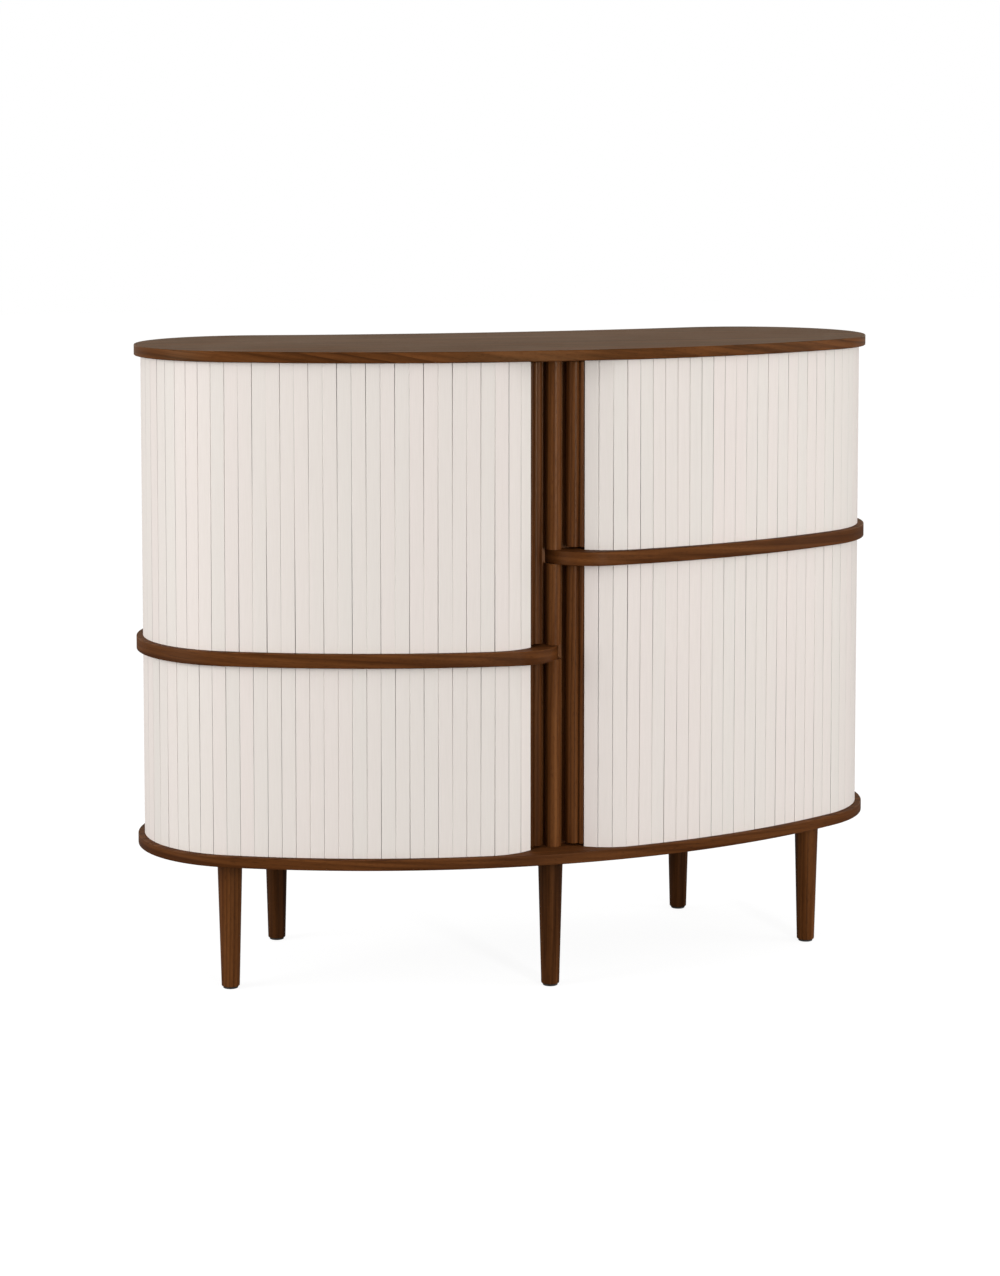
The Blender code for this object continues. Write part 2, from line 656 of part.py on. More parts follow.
def make_leading_section(name, side, low, high):
    """The section behind the lead moulding, with tenons on the slats that lie on the front arc."""
    section = make_section(name, side, 0, LEADING_SLATS, FRONT_CENTRE, low, high)
    turned_in = math.ceil(TURN_LENGTH / SLAT_PITCH)
    add_tenons(section, side, turned_in * SLAT_PITCH, LEADING_SLATS - turned_in,
               low + SEAT_GAP, high - HEAD_GAP)
    return as_part(section, "slat_textile")


def make_turning_section(name, side, first, low, high):
    """A short section that goes from the front arc on to the end arc as the door opens."""
    pole, _ = section_turn(first, SLATS_PER_SECTION)
    section = make_section(name, side, first, SLATS_PER_SECTION, pole, low, high)
    return as_part(section, "slat_textile")


def make_end_section(name, side, first, low, high):
    """The section that stays on the end arc."""
    section = make_section(name, side, first, END_SLATS, END_CENTRE, low, high)
    add_tenons(section, side, first, END_SLATS, low + SEAT_GAP, high - HEAD_GAP)
    return as_part(section, "slat_textile")


def hang_from(frame, item):
    """Make an item the child of an empty, without moving the item."""
    item.location -= frame.location
    item.parent = frame


def make_door(name, side, low, high):
    """One tambour door, whose pieces hang from an empty on the axis of its front arc."""
    frame = bpy.data.objects.new(name + "_axis", None)
    frame.location = (FRONT_CENTRE.x, FRONT_CENTRE.y, low)
    collection(PART_COLLECTION).objects.link(frame)
    pieces = [make_handle(name + "_handle", side, low, high),
              make_leading_section(name + "_leading_slats", side, low, high)]
    first = LEADING_SLATS * SLAT_PITCH
    for i in range(TURNING_SECTIONS):
        pieces.append(make_turning_section(name + "_turning_slats_" + str(i + 1), side, first, low, high))
        first += SLATS_PER_SECTION * SLAT_PITCH
    pieces.append(make_end_section(name + "_end_slats", side, first, low, high))
    for piece in pieces:
        hang_from(frame, piece)


def make_legs():
    """Five legs, each with its bolt and its glide."""
    for name, place in leg_places().items():
        make_leg(name, place)
        make_bolt(name, place)
        make_glide(name, place)


def make_cabinet():
    """The fixed boards and panels, and the four doors."""
    left_low = BASE_TOP + SHORT_DOOR_HEIGHT
    right_low = BASE_TOP + TALL_DOOR_HEIGHT
    left_high = left_low + SHELF_THICKNESS
    right_high = right_low + SHELF_THICKNESS
    make_base_panel()
    make_top_panel()
    make_shelf_board("left_shelf_board", -1, left_low)
    make_shelf_board("right_shelf_board", 1, right_low)
    make_centre_post((left_low, right_low))
    make_divider(((-1, left_high), (1, BASE_TOP)))
    compartments = (("upper_left", -1, left_high, TOP_UNDERSIDE, True),
                    ("lower_left", -1, BASE_TOP, left_low, False),
                    ("upper_right", 1, right_high, TOP_UNDERSIDE, False),
                    ("lower_right", 1, BASE_TOP, right_low, True))
    for name, side, low, high, tall in compartments:
        shelf_low = inner_shelf_low(low) if tall else None
        make_back_panel(name + "_back_panel", side, low, high, shelf_low)
        if tall:
            make_inner_shelf(name + "_inner_shelf", side, shelf_low)
        make_door(name + "_door", side, low, high)


def main():
    """Build the whole highboard."""
    clear_scene()
    collection(PART_COLLECTION)
    collection(CUTTER_COLLECTION)
    make_cabinet()
    make_legs()


main()
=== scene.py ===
"""Bow-fronted walnut highboard with four textile tambour doors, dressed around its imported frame.

Metres, +Z up, the front faces -Y and the origin is on the floor, in the middle of the outline.
"""
import logging
import math
from collections.abc import Callable
from dataclasses import dataclass, replace
from enum import Enum
from functools import cached_property, reduce
import bmesh
import bpy
from bpy.types import ID, Material, Mesh, Node, NodeSocket as Socket, NodeTree, Object
from bpy.types import bpy_prop_collection as Sockets
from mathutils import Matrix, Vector


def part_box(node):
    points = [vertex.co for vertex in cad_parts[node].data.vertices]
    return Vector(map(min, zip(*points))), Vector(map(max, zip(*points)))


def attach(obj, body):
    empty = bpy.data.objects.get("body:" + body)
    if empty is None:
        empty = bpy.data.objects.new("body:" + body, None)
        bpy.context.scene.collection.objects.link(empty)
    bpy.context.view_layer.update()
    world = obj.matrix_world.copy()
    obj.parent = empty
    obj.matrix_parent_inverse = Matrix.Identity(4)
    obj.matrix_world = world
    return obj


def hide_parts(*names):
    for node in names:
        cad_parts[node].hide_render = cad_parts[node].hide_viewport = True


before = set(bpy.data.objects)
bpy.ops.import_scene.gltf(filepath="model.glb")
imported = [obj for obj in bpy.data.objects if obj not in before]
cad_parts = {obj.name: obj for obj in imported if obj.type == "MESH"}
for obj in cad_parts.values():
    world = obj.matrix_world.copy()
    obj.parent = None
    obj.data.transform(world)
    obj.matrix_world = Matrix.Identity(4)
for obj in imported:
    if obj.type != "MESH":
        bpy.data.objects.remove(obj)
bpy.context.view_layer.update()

log = logging.getLogger("highboard")

Triple = tuple[float, float, float]
Colour = Triple
Setting = float | int | bool | str | tuple | ID | Socket
BODY = "cabinet"
SECTION_SLATS = 2
WHITE = (1.0, 1.0, 1.0)

# Mesh making
MERGE = 1e-6
SMOOTH_ANGLE = math.radians(35)
ARC_SAGITTA = 0.00002
OVERRUN = 0.010
SEAT_GAP = 0.0003


class Side(Enum):
    """The half of the cabinet that a piece belongs to."""

    LEFT = -1
    RIGHT = 1


class Grain(Enum):
    """The direction in which the wood of a piece runs, as the turn that brings it on to X."""

    ALONG_WIDTH = (0.0, 0.0, 0.0)
    UPRIGHT = (0.0, math.pi / 2, 0.0)


@dataclass(frozen=True)
class Plan:
    """The outline, the heights and the curtain path, as the frame has them."""

    width: float = 1.300
    front_radius: float = 1.137
    end_radius: float = 0.2084
    back_radius: float = 2.012
    leg_height: float = 0.223
    base_top: float = 0.241
    top_underside: float = 1.055
    height: float = 1.073
    left_board_low: float = 0.557
    right_board_low: float = 0.716
    board_thickness: float = 0.023
    ledge: float = 0.011
    slat_thickness: float = 0.008
    slat_gap: float = 0.0012
    turn_radius: float = 0.105
    turn_start: float = 0.1208
    turn_angle: float = math.radians(43.6)
    post_radius: float = 0.0125
    flange_half_width: float = 0.032
    flange_setback: float = 0.073
    flange_thickness: float = 0.008
    divider_side: float = 0.0095
    front_slats: int = 22
    end_slats: int = 11
    turning_slats: int = 10
    corner_radius: float = 0.085

    @cached_property
    def corner_angle(self) -> float:
        """Angle on the front arc at which a shelf board's rounded front corner ends."""
        return math.asin((self.corner_radius - self.post_radius) / (self.front_radius - self.corner_radius))

    @cached_property
    def corner_centre(self) -> Vector:
        """Centre of a right-hand shelf board's rounded front corner."""
        return around(self.front_centre, self.front_radius - self.corner_radius, self.corner_angle)

    def shelf_corner(self, start_y: float) -> list[Vector]:
        """A right-hand shelf board's rounded front corner, from a depth on."""
        start = -math.acos((self.corner_centre.y - start_y) / self.corner_radius)
        return arc(self.corner_centre, self.corner_radius, start, self.corner_angle)

    @cached_property
    def compartments(self) -> dict[str, tuple[Side, float, float]]:
        """The four compartments.

        Returns:
            Side, height of the floor and height of the ceiling, by name.
        """
        left_high = self.left_board_low + self.board_thickness
        right_high = self.right_board_low + self.board_thickness
        return {"upper_left": (Side.LEFT, left_high, self.top_underside),
                "lower_left": (Side.LEFT, self.base_top, self.left_board_low),
                "upper_right": (Side.RIGHT, right_high, self.top_underside),
                "lower_right": (Side.RIGHT, self.base_top, self.right_board_low)}

    @cached_property
    def front_angle(self) -> float:
        """Angle at which the front arc meets the end arc."""
        return math.asin((self.width / 2 - self.end_radius) / (self.front_radius - self.end_radius))

    @cached_property
    def depth(self) -> float:
        """Depth of the outline from front to back."""
        reach = self.front_radius - self.end_radius
        return self.front_radius - reach * math.cos(self.front_angle) + self.end_radius

    @cached_property
    def front_y(self) -> float:
        """The foremost point."""
        return -self.depth / 2

    @cached_property
    def front_centre(self) -> Vector:
        """Centre of the front arc."""
        return Vector((0, self.front_radius - self.depth / 2))

    @cached_property
    def end_centre(self) -> Vector:
        """Centre of the right-hand end arc."""
        return Vector((self.width / 2 - self.end_radius, self.depth / 2 - self.end_radius))

    @cached_property
    def back_angle(self) -> float:
        """Angle at which the end arc meets the hollow back."""
        return math.asin(self.end_centre.x / (self.back_radius + self.end_radius))

    @cached_property
    def back_centre(self) -> Vector:
        """Centre of the hollow back arc."""
        reach = (self.back_radius + self.end_radius) * math.cos(self.back_angle)
        return Vector((0, self.end_centre.y + reach))

    @cached_property
    def track_inset(self) -> float:
        """How far the middle of the slats lies inside the outline."""
        return self.ledge + self.slat_thickness / 2

    @cached_property
    def track_front(self) -> float:
        """Radius of the path along the front."""
        return self.front_radius - self.track_inset

    @cached_property
    def track_end(self) -> float:
        """Radius of the path round the end."""
        return self.end_radius - self.track_inset

    @cached_property
    def track_turn(self) -> float:
        """Radius of the path where it turns in towards the post."""
        return self.turn_radius - self.slat_thickness / 2

    @cached_property
    def turn_start_angle(self) -> float:
        """Angle on the front arc at which the path turns in."""
        return math.asin(self.turn_start / self.track_front)

    @cached_property
    def turn_centre(self) -> Vector:
        """Centre of the turned-in stretch."""
        return around(self.front_centre, self.track_front - self.track_turn, self.turn_start_angle)

    @cached_property
    def turn_length(self) -> float:
        """Length of the turned-in stretch."""
        return self.track_turn * self.turn_angle

    @cached_property
    def corner_length(self) -> float:
        """Length of the path up to the end arc."""
        return self.turn_length + self.track_front * (self.front_angle - self.turn_start_angle)

    @cached_property
    def pitch(self) -> float:
        """Distance between neighbouring slats along the path."""
        return self.corner_length / self.front_slats

    @cached_property
    def leading_slats(self) -> int:
        """Slats that stay on the front arc."""
        return self.front_slats - self.turning_slats

    def track_point(self, length: float, offset: float) -> Vector:
        """A point on a right-hand curtain's path.

        Args:
            length: Distance from the textile's leading edge.
            offset: Distance outwards from the path.

        Returns:
            The point in plan.
        """
        if length < self.turn_length:
            angle = self.turn_start_angle - (self.turn_length - length) / self.track_turn
            return around(self.turn_centre, self.track_turn + offset, angle)
        if length < self.corner_length:
            angle = self.turn_start_angle + (length - self.turn_length) / self.track_front
            return around(self.front_centre, self.track_front + offset, angle)
        angle = self.front_angle + (length - self.corner_length) / self.track_end
        return around(self.end_centre, self.track_end + offset, angle)

    def bend(self, length: float) -> float:
        """How strongly a curtain's path curves.

        Args:
            length: Distance from the textile's leading edge.

        Returns:
            One over the path's radius there.
        """
        if length < self.turn_length:
            return 1 / self.track_turn
        return 1 / (self.track_front if length < self.corner_length else self.track_end)

    def half_outline(self) -> list[Vector]:
        """The right half of the outline.

        Returns:
            Its points from front to back.
        """
        points = arc(self.front_centre, self.front_radius, 0, self.front_angle)
        points += arc(self.end_centre, self.end_radius, self.front_angle, math.pi + self.back_angle)
        return points + arc(self.back_centre, self.back_radius, self.back_angle, 0)

    def back_strip(self, outer: float, inner: float, start: float, stop_x: float) -> list[Vector]:
        """A strip that follows the end and the back between two insets.

        Args:
            outer: Inset of the outer face.
            inner: Inset of the inner face.
            start: Angle on the end arc at which the strip starts.
            stop_x: Distance from the middle at which it stops.

        Returns:
            The strip's outline in plan.
        """
        faces = []
        for inset in (outer, inner):
            radius = self.back_radius + inset
            face = arc(self.end_centre, self.end_radius - inset, start, math.pi + self.back_angle)
            face += arc(self.back_centre, radius, self.back_angle, math.asin(stop_x / radius))
            faces.append(face)
        return faces[0] + faces[1][::-1]

    def groove(self, width: float, lead: float, stop: float) -> list[Vector]:
        """The running groove of a right-hand curtain.

        Args:
            width: Width of the groove.
            lead: How far it runs on under the lead moulding.
            stop: Angle on the end arc at which it stops.

        Returns:
            The groove's outline in plan.
        """
        start = self.turn_start_angle - (self.turn_length + lead) / self.track_turn
        faces = []
        for offset in (width / 2, -width / 2):
            face = arc(self.turn_centre, self.track_turn + offset, start, self.turn_start_angle)
            face += arc(self.front_centre, self.track_front + offset, self.turn_start_angle, self.front_angle)
            face += arc(self.end_centre, self.track_end + offset, self.front_angle, stop)
            faces.append(face)
        return faces[0] + faces[1][::-1]


def around(centre: Vector, radius: float, angle: float) -> Vector:
    """The point at an angle from straight ahead (-Y), turning towards +X."""
    return Vector((centre.x + radius * math.sin(angle), centre.y - radius * math.cos(angle)))


def arc(centre: Vector, radius: float, start: float, stop: float) -> list[Vector]:
    """Points along an arc, close enough together to look round.

    Args:
        centre: Its centre.
        radius: Its radius.
        start: Angle of its first point.
        stop: Angle of its last point.

    Returns:
        The points.
    """
    widest = 2 * math.acos(1 - ARC_SAGITTA / radius)
    count = max(1, math.ceil(abs(stop - start) / widest))
    return [around(centre, radius, start + (stop - start) * i / count) for i in range(count + 1)]


def mirrored(points: list[Vector], side: Side) -> list[Vector]:
    """The right half's points for a side, still anticlockwise seen from above.

    Args:
        points: The right half's points.
        side: The side that they are wanted for.

    Returns:
        The side's points.
    """
    if side is Side.RIGHT:
        return list(points)
    return [Vector((-point.x, point.y)) for point in reversed(points)]


def without_doubles(points: list[Vector]) -> list[Vector]:
    """The points of a closed outline without those that repeat the one before."""
    return [point for i, point in enumerate(points) if (point - points[i - 1]).length > MERGE]


def inset_ring(points: list[Vector], inset: float) -> list[Vector]:
    """A closed anticlockwise outline moved inwards by the same distance everywhere.

    Args:
        points: The outline.
        inset: The distance.

    Returns:
        The smaller outline, point for point.
    """
    ring = []
    for i, point in enumerate(points):
        before = (point - points[i - 1]).normalized()
        after = (points[(i + 1) % len(points)] - point).normalized()
        first, second = Vector((-before.y, before.x)), Vector((-after.y, after.x))
        ring.append(point + (first + second) * (inset / (1 + first.dot(second))))
    return ring


@dataclass(frozen=True)
class Edge:
    """How the two long edges of a board are rounded."""

    radius: float = 0.0
    steps: int = 4
    support: float = 0.0004

    def rings(self, low: float, high: float) -> list[tuple[float, float]]:
        """The rings of points that make a board.

        Args:
            low: Height of the board's underside.
            high: Height of its upper face.

        Returns:
            The inset and the height of each ring, from the underside up.
        """
        if self.radius == 0:
            return [(0.0, low), (0.0, high)]
        rise = [(self.radius + self.support, 0.0)]
        for i in range(self.steps + 1):
            angle = math.pi / 2 * i / self.steps
            rise.append((self.radius * (1 - math.sin(angle)), self.radius * (1 - math.cos(angle))))
        rise.append((0.0, self.radius + self.support))
        lower = [(inset, low + step) for inset, step in rise]
        upper = [(inset, high - step) for inset, step in reversed(rise)]
        return lower + upper


def board(name: str, outline: list[Vector], low: float, high: float, edge: Edge = Edge()) -> Mesh:
    """A board between two heights with rounded edges.

    Args:
        name: Name of the mesh.
        outline: Its closed outline in plan, anticlockwise.
        low: Height of its underside.
        high: Height of its upper face.
        edge: How its edges are rounded.

    Returns:
        The closed mesh.
    """
    points = without_doubles(outline)
    shape = bmesh.new()
    rings = []
    for inset, height in edge.rings(low, high):
        ring = inset_ring(points, inset) if inset else points
        rings.append([shape.verts.new((point.x, point.y, height)) for point in ring])
    count = len(points)
    for lower, upper in zip(rings, rings[1:]):
        for i in range(count):
            j = (i + 1) % count
            shape.faces.new((lower[i], lower[j], upper[j], upper[i]))
    shape.faces.new(rings[-1])
    shape.faces.new(rings[0][::-1])
    return finished_mesh(name, shape)


def turned(name: str, profile: list[tuple[float, float]], place: Vector, steps: int) -> Mesh:
    """A closed turned shape about an upright axis.

    Args:
        name: Name of the mesh.
        profile: Radius and height of each point, from the axis round to the axis.
        place: The axis in plan.
        steps: Points in each ring.

    Returns:
        The closed mesh.
    """
    shape = bmesh.new()
    rings = []
    for radius, height in profile:
        angles = [2 * math.pi * i / steps for i in range(steps if radius else 1)]
        corners = [(place.x + radius * math.cos(a), place.y + radius * math.sin(a), height) for a in angles]
        rings.append([shape.verts.new(corner) for corner in corners])
    for first, second in zip(rings, rings[1:]):
        for i in range(steps):
            j = (i + 1) % steps
            corners = [first[i % len(first)], first[j % len(first)],
                       second[j % len(second)], second[i % len(second)]]
            shape.faces.new(list(dict.fromkeys(corners)))
    return finished_mesh(name, shape)


def smoothed(mesh: Mesh) -> Mesh:
    """Smooth a mesh's soft edges and keep its hard ones sharp.

    Args:
        mesh: The mesh.

    Returns:
        The same mesh.
    """
    mesh.shade_smooth()
    mesh.set_sharp_from_angle(angle=SMOOTH_ANGLE)
    return mesh


def settled(mesh: Mesh, shape: bmesh.types.BMesh) -> Mesh:
    """A closed shape's faces turned outwards and put into a mesh.

    Args:
        mesh: The mesh to fill, which keeps its materials.
        shape: The shape, which is freed.

    Returns:
        The mesh, smoothed.
    """
    bmesh.ops.recalc_face_normals(shape, faces=shape.faces)
    shape.to_mesh(mesh)
    shape.free()
    return smoothed(mesh)


def finished_mesh(name: str, shape: bmesh.types.BMesh) -> Mesh:
    """A new mesh from a closed shape."""
    return settled(bpy.data.meshes.new(name), shape)


def linked_object(name: str, data: ID) -> Object:
    """A new object in the scene.

    Args:
        name: Its name.
        data: Its mesh, lamp or camera.

    Returns:
        The object, at the origin.
    """
    item = bpy.data.objects.new(name, data)
    bpy.context.scene.collection.objects.link(item)
    return item


def evaluated(item: Object) -> Mesh:
    """The mesh that an object's modifiers make.

    Args:
        item: The object, which is removed.

    Returns:
        The mesh, under the object's name.
    """
    bpy.context.view_layer.update()
    mesh = bpy.data.meshes.new_from_object(item.evaluated_get(bpy.context.evaluated_depsgraph_get()))
    mesh.name = item.name
    bpy.data.objects.remove(item, do_unlink=True)
    return mesh


def carved(mesh: Mesh, cutters: list[Mesh]) -> Mesh:
    """Cut closed meshes out of another.

    Args:
        mesh: The mesh to be cut.
        cutters: The meshes to cut out, which don't touch each other and are removed.

    Returns:
        What is left of the mesh.
    """
    shape = bmesh.new()
    for cutter in cutters:
        shape.from_mesh(cutter)
        bpy.data.meshes.remove(cutter)
    name = mesh.name + "_cutter"
    tool = linked_object(name, finished_mesh(name, shape))
    item = linked_object(mesh.name, mesh)
    cut = item.modifiers.new("cuts", "BOOLEAN")
    cut.operation = "DIFFERENCE"
    cut.solver = "EXACT"
    cut.object = tool
    result = evaluated(item)
    bpy.data.objects.remove(tool, do_unlink=True)
    return smoothed(result)


def block(low: Triple, high: Triple) -> Mesh:
    """A plain cutting block between two corners."""
    corners = ((low[0], low[1]), (high[0], low[1]), (high[0], high[1]), (low[0], high[1]))
    return board("block", [Vector(corner) for corner in corners], low[2], high[2])


def dress(mesh: Mesh, finish: Material) -> None:
    """Give a mesh one material."""
    mesh.materials.clear()
    mesh.materials.append(finish)


def place_piece(mesh: Mesh, body: str, nodes: list[str], finish: Material | None) -> Object:
    """Put a finished mesh into the scene as a piece of the object.

    Args:
        mesh: The finished mesh, in place, whose name becomes the piece's.
        body: The frame's body that it rides on.
        nodes: The frame's nodes that it stands for.
        finish: Its material, or None where the mesh brings its own.

    Returns:
        The piece.
    """
    if finish:
        dress(mesh, finish)
    piece = linked_object(mesh.name, mesh)
    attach(piece, body)
    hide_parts(*nodes)
    log.info("%s: %d faces on %s", piece.name, len(mesh.polygons), body)
    return piece


class Graph:
    """Short calls for adding nodes to a tree and wiring them."""

    def __init__(self, tree: NodeTree) -> None:
        """Take the tree to be filled."""
        self.tree = tree

    def feed(self, node: Node, inputs: dict[str | int, Setting]) -> None:
        """Set or wire some of a node's inputs.

        Args:
            node: The node.
            inputs: A value or another node's output for each input socket, by name or number.
        """
        for key, value in inputs.items():
            socket = node.inputs[key] if isinstance(key, int) else switched_on(node.inputs, key)
            if isinstance(value, Socket):
                self.tree.links.new(value, socket)
            else:
                socket.default_value = (*value, 1.0) if socket.type == "RGBA" else value

    def add(self, kind: str, inputs: dict[str | int, Setting] | None = None, **settings: Setting) -> Node:
        """Add a node.

        Args:
            kind: Blender's type name of the node.
            inputs: What its inputs are set to or wired to, by name or number.
            settings: The node's own properties.

        Returns:
            The node.
        """
        node = self.tree.nodes.new(kind)
        for name, value in settings.items():
            setattr(node, name, value)
        self.feed(node, inputs or {})
        return node

    def math(self, operation: str, *values: Setting) -> Socket:
        """The result of a Math node on one to three values."""
        return self.add("ShaderNodeMath", dict(enumerate(values)), operation=operation).outputs[0]

    def times(self, *values: Setting) -> Socket:
        """The product of two or more values, multiplied from left to right."""
        return reduce(lambda product, value: self.math("MULTIPLY", product, value), values)

    def vector(self, operation: str, *vectors: Setting) -> Socket:
        """The result of a Vector Math node on one or two vectors."""
        node = self.add("ShaderNodeVectorMath", dict(enumerate(vectors)), operation=operation)
        return next(socket for socket in node.outputs if socket.enabled)

    def combine(self, x: Setting, y: Setting, z: Setting) -> Socket:
        """A vector from three values."""
        return self.add("ShaderNodeCombineXYZ", {0: x, 1: y, 2: z}).outputs[0]

    def parts(self, vector: Socket) -> Sockets:
        """The three values of a vector."""
        return self.add("ShaderNodeSeparateXYZ", {0: vector}).outputs

    def attribute(self, name: str, output: str = "Fac") -> Socket:
        """An attribute of the piece, read in a material."""
        return self.add("ShaderNodeAttribute", attribute_name=name).outputs[output]

    def noise(self, vector: Socket, cells: Triple, detail: float = 2.0, output: str = "Fac") -> Socket:
        """Noise that is stretched along the axes.

        Args:
            vector: Where it is read.
            cells: How many of its cells lie in a metre along each axis.
            detail: How many finer layers it has.
            output: The output of the noise node that is wanted.

        Returns:
            The noise.
        """
        stretched = self.vector("MULTIPLY", vector, cells)
        inputs = {"Vector": stretched, "Scale": 1.0, "Detail": detail}
        return self.add("ShaderNodeTexNoise", inputs).outputs[output]

    def mix(self, share: Setting, first: Setting, second: Setting) -> Socket:
        """A colour between two colours."""
        node = self.add("ShaderNodeMix", {"Factor": share, "A": first, "B": second}, data_type="RGBA")
        return switched_on(node.outputs, "Result")

    def spread(self, value: Socket, low: float, high: float, to_low: float = 0.0,
               to_high: float = 1.0) -> Socket:
        """A value moved from one range to another and kept inside it."""
        inputs = {"Value": value, "From Min": low, "From Max": high, "To Min": to_low, "To Max": to_high}
        return self.add("ShaderNodeMapRange", inputs, clamp=True).outputs["Result"]

    def relief(self, strength: float, height: float, pattern: Socket) -> Socket:
        """A normal with a fine pattern of some height in it."""
        inputs = {"Strength": strength, "Distance": height, "Height": pattern}
        return self.add("ShaderNodeBump", inputs).outputs[0]

    def group(self, name: str, fill: Callable[["Graph"], None], inputs: dict[str, Setting]) -> Sockets:
        """The outputs of a shader group that materials share."""
        tree = shared_group(name, "ShaderNodeTree", fill)
        return self.add("ShaderNodeGroup", inputs, node_tree=tree).outputs

    def handling(self, vector: Socket, patches: float) -> Socket:
        """The mask of uneven patches that use leaves, with so many of them in a metre."""
        inputs = {"Vector": vector, "Patches Per Metre": patches}
        return self.group("handling", fill_handling, inputs)["Patch"]

    def varied(self, mask: Socket, middle: float, reach: float) -> Socket:
        """A value that a mask moves about its middle."""
        return self.spread(mask, 0.0, 1.0, middle - reach, middle + reach)

    def declare(self, kind: str, inputs: dict[str, Setting | None]) -> None:
        """Give the tree named inputs of one kind.

        Args:
            kind: Blender's type name of the sockets.
            inputs: The usual value of each input, or None.
        """
        for name, value in inputs.items():
            socket = self.tree.interface.new_socket(name, in_out="INPUT", socket_type=kind)
            if value is not None:
                socket.default_value = value

    def promise(self, kind: str, *names: str) -> None:
        """Give the tree named outputs of one kind."""
        for name in names:
            self.tree.interface.new_socket(name, in_out="OUTPUT", socket_type=kind)


def switched_on(sockets: Sockets, name: str) -> Socket:
    """The socket of that name that the node's settings have switched on."""
    return next(socket for socket in sockets if socket.enabled and socket.name == name)


def shared_group(name: str, kind: str, fill: Callable[[Graph], None]) -> NodeTree:
    """A node tree that is made when it is first asked for.

    Args:
        name: Its name.
        kind: Blender's type name of the tree.
        fill: What fills it.

    Returns:
        The tree.
    """
    tree = bpy.data.node_groups.get(name)
    if tree is None:
        tree = bpy.data.node_groups.new(name, kind)
        fill(Graph(tree))
    return tree


# Walnut: cells of noise in a metre, along the grain and both ways across it
WAVES = (1.6, 5.0, 5.0)
RING_PATCHES = (1.3, 34.0, 34.0)
STREAKS = (2.2, 85.0, 85.0)
FIBRES = (26.0, 900.0, 900.0)
PORES = (75.0, 1500.0, 1500.0)

# Walnut: the ranges that are spread out to masks, and the shape of a ring and of the relief
EARLY_WOOD_POWER = 2.2
LATE_WOOD = (0.93, 1.0)
RING_RANGE = (0.36, 0.64, 0.25, 1.0)
STREAK_RANGE = (0.36, 0.66)
FIBRE_RANGE = (0.25, 0.75)
PORE_RANGE = (0.60, 0.72)
FIBRE_HEIGHT = 0.35
EDGE_FACES = (0.45, 0.55, 1.0, 0.0)
FLAT_FACES = (0.6, 0.98)


def fill_walnut_grain(graph: Graph) -> None:
    """Growth rings, streaks, fibres and pores of solid walnut whose grain runs along X.

    Args:
        graph: The group's empty graph.
    """
    graph.declare("NodeSocketVector", {"Vector": None})
    graph.declare("NodeSocketFloat", {"Ring Spacing": 0.012, "Waviness": 0.02})
    graph.promise("NodeSocketFloat", "Rings", "Streaks", "Fibres", "Pores", "Height")
    given = graph.add("NodeGroupInput").outputs
    wave = graph.noise(given["Vector"], WAVES, 3.0, "Color")
    centred = graph.vector("SUBTRACT", wave, (0.5, 0.5, 0.5))
    shift = graph.add("ShaderNodeVectorMath", operation="SCALE")
    graph.feed(shift, {0: centred, "Scale": given["Waviness"]})
    bent = graph.vector("ADD", given["Vector"], shift.outputs[0])
    parts = graph.parts(bent)
    across = graph.vector("LENGTH", graph.combine(0.0, parts[1], parts[2]))
    phase = graph.math("FRACT", graph.math("DIVIDE", across, given["Ring Spacing"]))
    early = graph.math("POWER", phase, EARLY_WOOD_POWER)
    late = graph.spread(phase, *LATE_WOOD)
    uneven = graph.spread(graph.noise(bent, RING_PATCHES), *RING_RANGE)
    rings = graph.times(graph.math("SUBTRACT", early, late), uneven)
    streaks = graph.spread(graph.noise(bent, STREAKS, 3.0), *STREAK_RANGE)
    fibres = graph.noise(bent, FIBRES, 3.0)
    pores = graph.spread(graph.noise(bent, PORES, 1.0), *PORE_RANGE)
    height = graph.math("SUBTRACT", graph.times(fibres, FIBRE_HEIGHT), pores)
    graph.add("NodeGroupOutput", {"Rings": rings, "Streaks": streaks, "Pores": pores, "Height": height,
                                  "Fibres": graph.spread(fibres, *FIBRE_RANGE)})


# Textile: cells of noise in a metre, across the threads, through the cloth and along the threads
SLUBS = (700.0, 700.0, 22.0)
# How the painted joint shade fades along the slats.
JOINT_FADING = (24.0, 24.0, 4.0)

# Textile and handling: the ranges that are spread out to masks
SLUB_RANGE = (0.30, 0.70)
SLUB_HEIGHT = 1.5
FADING_RANGE = (0.36, 0.60, 0.10, 0.90)
PATCH_RANGE = (0.32, 0.68)


def fill_weave(graph: Graph) -> None:
    """Plain weave with slubs along its upright threads; X is across the threads and Z along them.

    Args:
        graph: The group's empty graph.
    """
    graph.declare("NodeSocketVector", {"Vector": None})
    graph.declare("NodeSocketFloat", {"Threads Per Metre": 1300.0})
    graph.promise("NodeSocketFloat", "Thread", "Slub", "Height")
    given = graph.add("NodeGroupInput").outputs
    parts = graph.parts(given["Vector"])
    weft, warp = [graph.math("SINE", graph.times(part, given["Threads Per Metre"], math.pi))
                  for part in (parts[0], parts[2])]
    over = graph.math("MULTIPLY_ADD", graph.times(weft, warp), 0.5, 0.5)
    crown = graph.math("MAXIMUM", graph.math("ABSOLUTE", weft), graph.math("ABSOLUTE", warp))
    thread = graph.times(over, crown)
    slub = graph.noise(given["Vector"], SLUBS)
    height = graph.math("ADD", thread, graph.times(slub, SLUB_HEIGHT))
    graph.add("NodeGroupOutput", {"Thread": thread, "Height": height,
                                  "Slub": graph.spread(slub, *SLUB_RANGE)})


